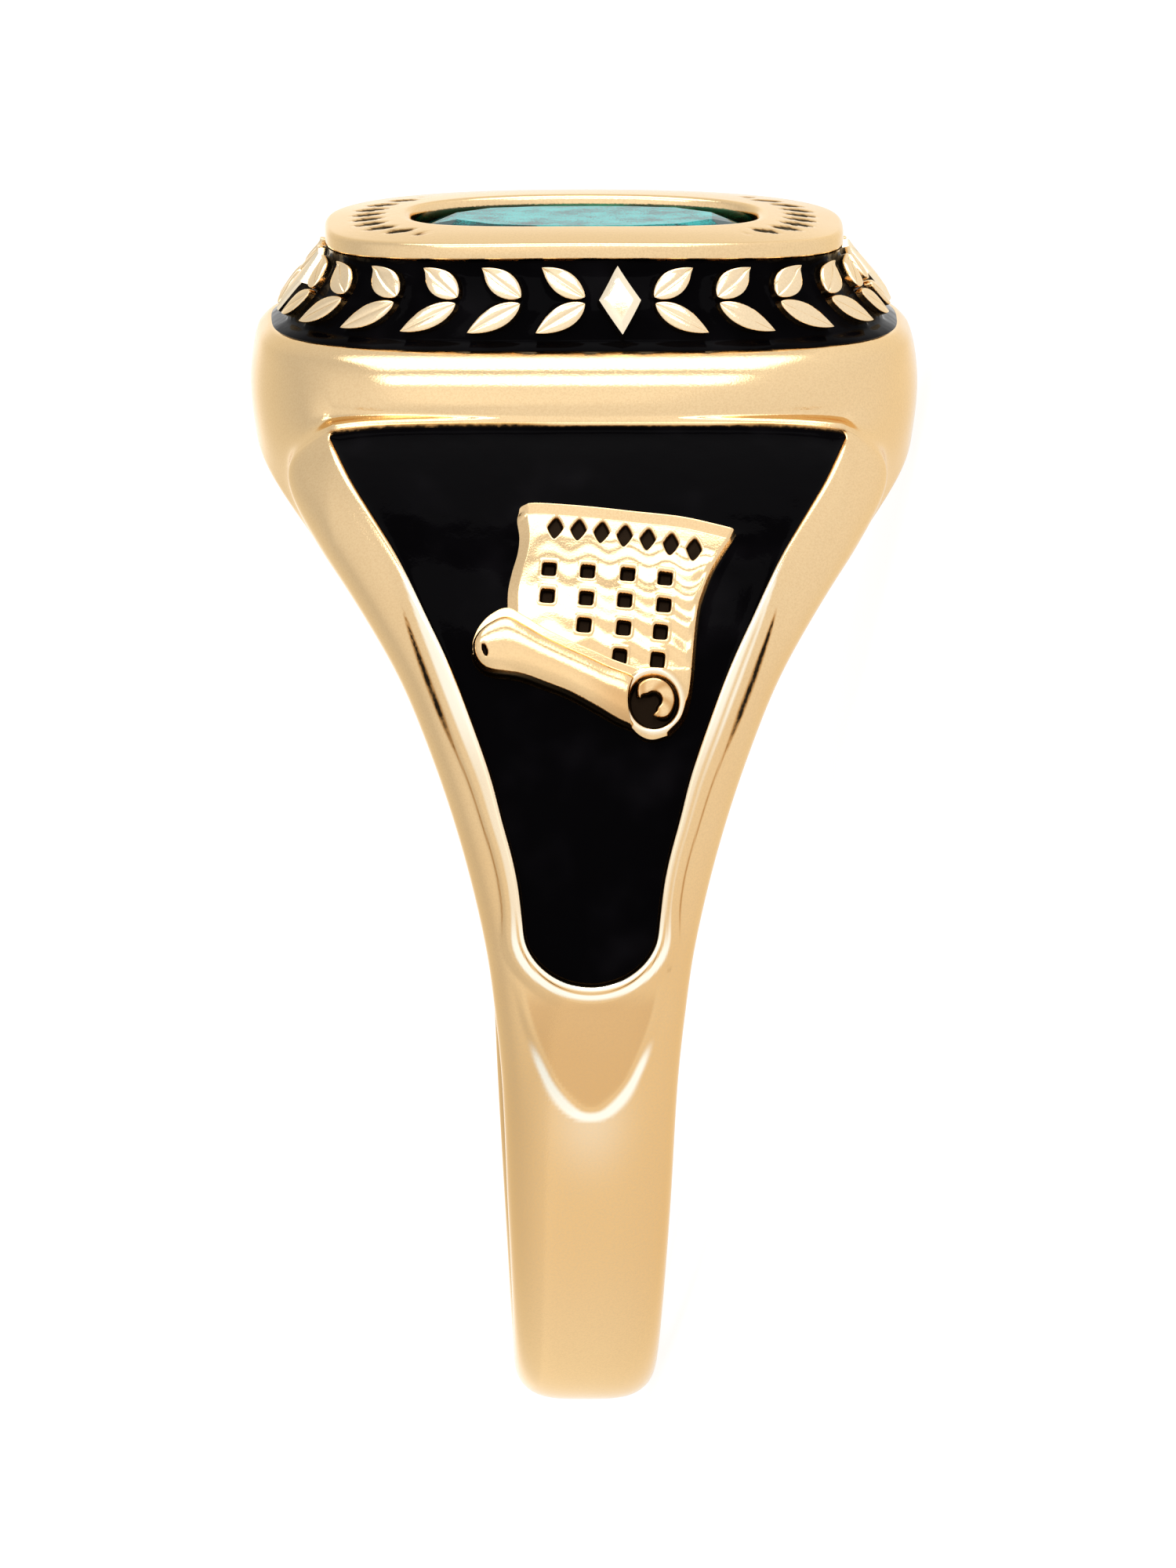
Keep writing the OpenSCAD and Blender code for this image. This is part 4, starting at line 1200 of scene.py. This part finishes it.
class RING_OT_panel_enamel(bpy.types.Operator):
    """Pour the black enamel of the panel on each shoulder"""

    bl_idname = "ring.panel_enamel"
    bl_label = "Enamel of the panels"

    middle_a, wall_gap = 47.0, 0.03

    def execute(self, context):
        form = form_of(context)
        loop, fine = panel_outline(form)
        inner = loop - outwards(loop) * self.wall_gap
        centre = np.stack([lerp(inner[:, 0], self.middle_a * form.degree, 0.1), 0 * inner[:, 1]], -1)
        steps = np.concatenate([np.linspace(0, 0.25, 22), np.linspace(0.25, 1, 30)[1:]])
        flat = lerp(inner, centre, steps[:, None, None])
        on_sheet = np.stack([-flat[..., 1], form.scroll_a * form.degree - flat[..., 0]], -1)
        around_scroll = nearest(on_sheet, rim_of(sheet_patch(40, 40)))
        # The enamel creeps up at the panel's wall, round the scroll and along the top edge.
        depth = form.enamel_sink - 0.07 * np.exp(-nearest(flat, fine) / 0.07)
        depth = depth - 0.06 * np.exp(-around_scroll / 0.07)
        depth = depth - 0.06 * np.exp(-(flat[..., 0] - form.panel_top * form.degree) / 0.12)
        pour = Casting()
        pour.grid(form.skin_z(flat[..., 0] / form.degree, flat[..., 1], -depth), closed=True)
        for name, part, node in (
            ("enamel_near", pour, "panel_enamel_near"), ("enamel_far", pour.turned(), "panel_enamel_far")
        ):
            piece = part.make(name, finish_named(context, "black_enamel"))
            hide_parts(node)
        return {"FINISHED"}


# ---- Stone ----


class RING_OT_stone(bpy.types.Operator):
    """Cut the stone: a table, two rows of crown facets, a girdle and a deep pavilion"""

    bl_idname = "ring.stone"
    bl_label = "Cut stone"

    table, bevel = np.array([2.55, 1.45]), 0.012

    @staticmethod
    def depth(face, form):
        """How light a facet is painted, as painted light and shade: the table pale, the crown light and
        dark in turn, the ends darkest.
        """
        x, y, z = face.normal
        if y > 0.98:
            return 0.35
        if y < 0.1:
            return 0.25
        turn = math.degrees(math.atan2(x, z)) % 360
        light = 0.22 + 0.2 * cos(turn * 8) + 0.12 * cos(turn * 3 + 40)
        return light - 0.45 * abs(face.center.z / MM) ** 3 / form.opening_l ** 3 * 8

    def execute(self, context):
        form = form_of(context)
        girdle, girdle_z = form.opening + 0.16, form.girdle_z
        points = []
        # Half length and depth, height, corners, and turn of the first corner
        for half, z, corners, first in (
            (self.table, form.table_z, 16, 11.25),
            (lerp(self.table, girdle, 0.5), lerp(form.table_z, girdle_z, 0.4), 16, 0.0),
            (girdle, girdle_z, 32, 5.625), (girdle, girdle_z - 0.1, 32, 5.625),
            (girdle * 0.62, girdle_z - 0.85, 16, 0.0), (girdle * 0.3, girdle_z - 1.45, 8, 11.25),
        ):
            points += list(form.ring(first + np.arange(corners) * 360 / corners, half, STONE_SQUARE, z))
        points.append((0, girdle_z - 1.8, 0))
        work = bmesh.new()
        made = [work.verts.new(Vector(p) * MM) for p in points]
        bmesh.ops.convex_hull(work, input=made)
        bmesh.ops.dissolve_limit(work, angle_limit=math.radians(0.5), verts=work.verts, edges=work.edges)
        bmesh.ops.bevel(
            work, geom=work.edges[:], offset=self.bevel * MM, segments=1, affect="EDGES", profile=0.5,
            clamp_overlap=True)
        bmesh.ops.recalc_face_normals(work, faces=work.faces)
        mesh = bpy.data.meshes.new("faceted_stone")
        work.to_mesh(mesh)
        work.free()
        # Each facet's painted light and shade.
        facet = mesh.attributes.new("facet", "FLOAT", "FACE")
        facet.data.foreach_set("value", [self.depth(p, form) for p in mesh.polygons])
        mesh.transform(REST)
        mesh.materials.append(finish_named(context, "cut_stone"))
        piece = placed("faceted_stone", mesh)
        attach(piece, "root")
        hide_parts("stone")
        return {"FINISHED"}


# ---- Stage ----

# Soft lights seen from the ring with the camera ahead: degrees to the right and up, distance, width and
# height in metres, and brightness
LIGHTS = [
    ("upper_panel", 0, 86, 0.5, 0.45, 0.315, 2.5),
    ("lower_strip", 0, 48.5, 0.5, 0.52, 0.16, 2.7),
]
# Soft glows of the studio's walls: degrees to the right and up, outer and inner radius in degrees, strength
GLOWS = [(0, 20, 42, 5, 0.22), (-50, 10, 60, 5, 0.25), (180, 0, 26, 4, 0.2)]
FLOOR_HALF, CAMERA_FAR, SENSOR_H = 4.0, 1.5, 24
# The photograph's height in pixels, its pixels to a millimetre, and those from the middle of the finger
# hole up and right to the middle of the picture
PHOTO_H, PER_MM, AIM_UP, AIM_RIGHT = 2000, 65, 125, 5
# How far the camera looks down and leans, in degrees
LOOK_DOWN, CAMERA_LEAN = 8, -0.75


class RING_OT_stage(bpy.types.Operator):
    """Set up the pale floor, the soft lights and the camera at the photograph's angle"""

    bl_idname = "ring.stage"
    bl_label = "Floor, lights and camera"

    def direction(self, azimuth, rise):
        """From the ring, degrees to the right of the camera and up from it."""
        right, up, out = self.sides
        a, e = math.radians(azimuth), math.radians(rise)
        return right * math.sin(a) * math.cos(e) + out * math.cos(a) * math.cos(e) + up * math.sin(e)

    def execute(self, context):
        lean = REST.to_3x3() @ Matrix.Rotation(math.radians(CAMERA_LEAN), 3, "Y")
        down = math.radians(LOOK_DOWN)
        out = lean @ Vector((math.cos(down), math.sin(down), 0))
        up = lean @ Vector((-math.sin(down), math.cos(down), 0))
        self.sides = lean @ Vector((0, 0, -1)), up, out
        self.lay_floor(context)
        self.set_camera(context.scene)
        self.light_studio(context.scene)
        return {"FINISHED"}

    @staticmethod
    def lay_floor(context):
        low = min(CAD_BOX[0][2], CAD_BOX[1][2])
        mesh = bpy.data.meshes.new("floor")
        corners = ((-1, -1), (1, -1), (1, 1), (-1, 1))
        mesh.from_pydata([(x * FLOOR_HALF, y * FLOOR_HALF, low) for x, y in corners], [], [(0, 1, 2, 3)])
        mesh.materials.append(finish_named(context, "pale_floor"))
        placed("floor", mesh)

    def set_camera(self, scene):
        right, up, out = self.sides
        lens = bpy.data.cameras.new("camera")
        lens.sensor_fit = "VERTICAL"
        lens.sensor_height = SENSOR_H
        lens.lens = SENSOR_H * CAMERA_FAR / (PHOTO_H / PER_MM * MM)
        lens.clip_start, lens.clip_end = 0.05, 20
        camera = placed("camera", lens)
        centre = (up * AIM_UP / PER_MM + right * AIM_RIGHT / PER_MM) * MM
        facing = Matrix(self.sides).transposed().to_4x4()
        camera.matrix_world = Matrix.Translation(centre + out * CAMERA_FAR) @ facing
        scene.camera = camera

    def light_studio(self, scene):
        right, _, out = self.sides
        world = bpy.data.worlds.new("studio")
        world.use_nodes = True
        sky = Nodes(world.node_tree)
        where = sky.node("ShaderNodeTexCoord")

        def towards(aim):
            return sky.node("ShaderNodeVectorMath", {"operation": "DOT_PRODUCT"}, {0: where, 1: aim}, out=1)

        strength = 1.05 - towards((0, 0, 1)) * 0.28
        for azimuth, rise, wide, core, bright in GLOWS:
            glow = sky.ramp(towards(self.direction(azimuth, rise)), cos(wide), cos(core))
            strength = strength + glow * bright
        background = world.node_tree.nodes["Background"]
        sky.put(background.inputs["Strength"], strength)
        sky.put(background.inputs["Color"], (1, 1, 1))
        scene.world = world
        scene.view_settings.view_transform = "Standard"
        for name, azimuth, rise, far, wide, high, bright in LIGHTS:
            light = bpy.data.lights.new(name, "AREA")
            light.shape, light.size, light.size_y = "RECTANGLE", wide, high
            light.energy = bright * math.pi * wide * high
            aim = self.direction(azimuth, rise)
            turn = math.radians(azimuth)
            beside = (right * math.cos(turn) - out * math.sin(turn)).normalized()
            facing = Matrix((beside, aim.cross(beside), aim)).transposed().to_4x4()
            placed(name, light).matrix_world = Matrix.Translation(aim * far) @ facing


class RING_PT_panel(bpy.types.Panel):
    """Sizes, colours and building steps of the ring"""

    bl_idname = "RING_PT_panel"
    bl_label = "Class Ring"
    bl_space_type = "VIEW_3D"
    bl_region_type = "UI"
    bl_category = "Class Ring"

    def draw(self, context):
        for group in (context.scene.class_ring_sizes, context.scene.class_ring_finish):
            box = self.layout.box()
            for name in type(group).__annotations__:
                box.prop(group, name)
        for step in STEPS:
            self.layout.operator(step.bl_idname)


STEPS = (
    RING_OT_band, RING_OT_raised_work, RING_OT_scrolls, RING_OT_band_enamel, RING_OT_panel_enamel,
    RING_OT_stone, RING_OT_stage,
)
CLASSES = (RING_PG_sizes, RING_PG_finish, *STEPS, RING_PT_panel)


def register():
    for kind in CLASSES:
        bpy.utils.register_class(kind)
    bpy.types.Scene.class_ring_sizes = PointerProperty(type=RING_PG_sizes)
    bpy.types.Scene.class_ring_finish = PointerProperty(type=RING_PG_finish)


def unregister():
    del bpy.types.Scene.class_ring_finish
    del bpy.types.Scene.class_ring_sizes
    for kind in reversed(CLASSES):
        bpy.utils.unregister_class(kind)


def main():
    register()
    bpy.ops.ring.casting()
    bpy.ops.ring.raised_work()
    bpy.ops.ring.scrolls()
    bpy.ops.ring.band_enamel()
    bpy.ops.ring.panel_enamel()
    bpy.ops.ring.stone()
    bpy.ops.ring.stage()


if __name__ == "__main__":
    main()
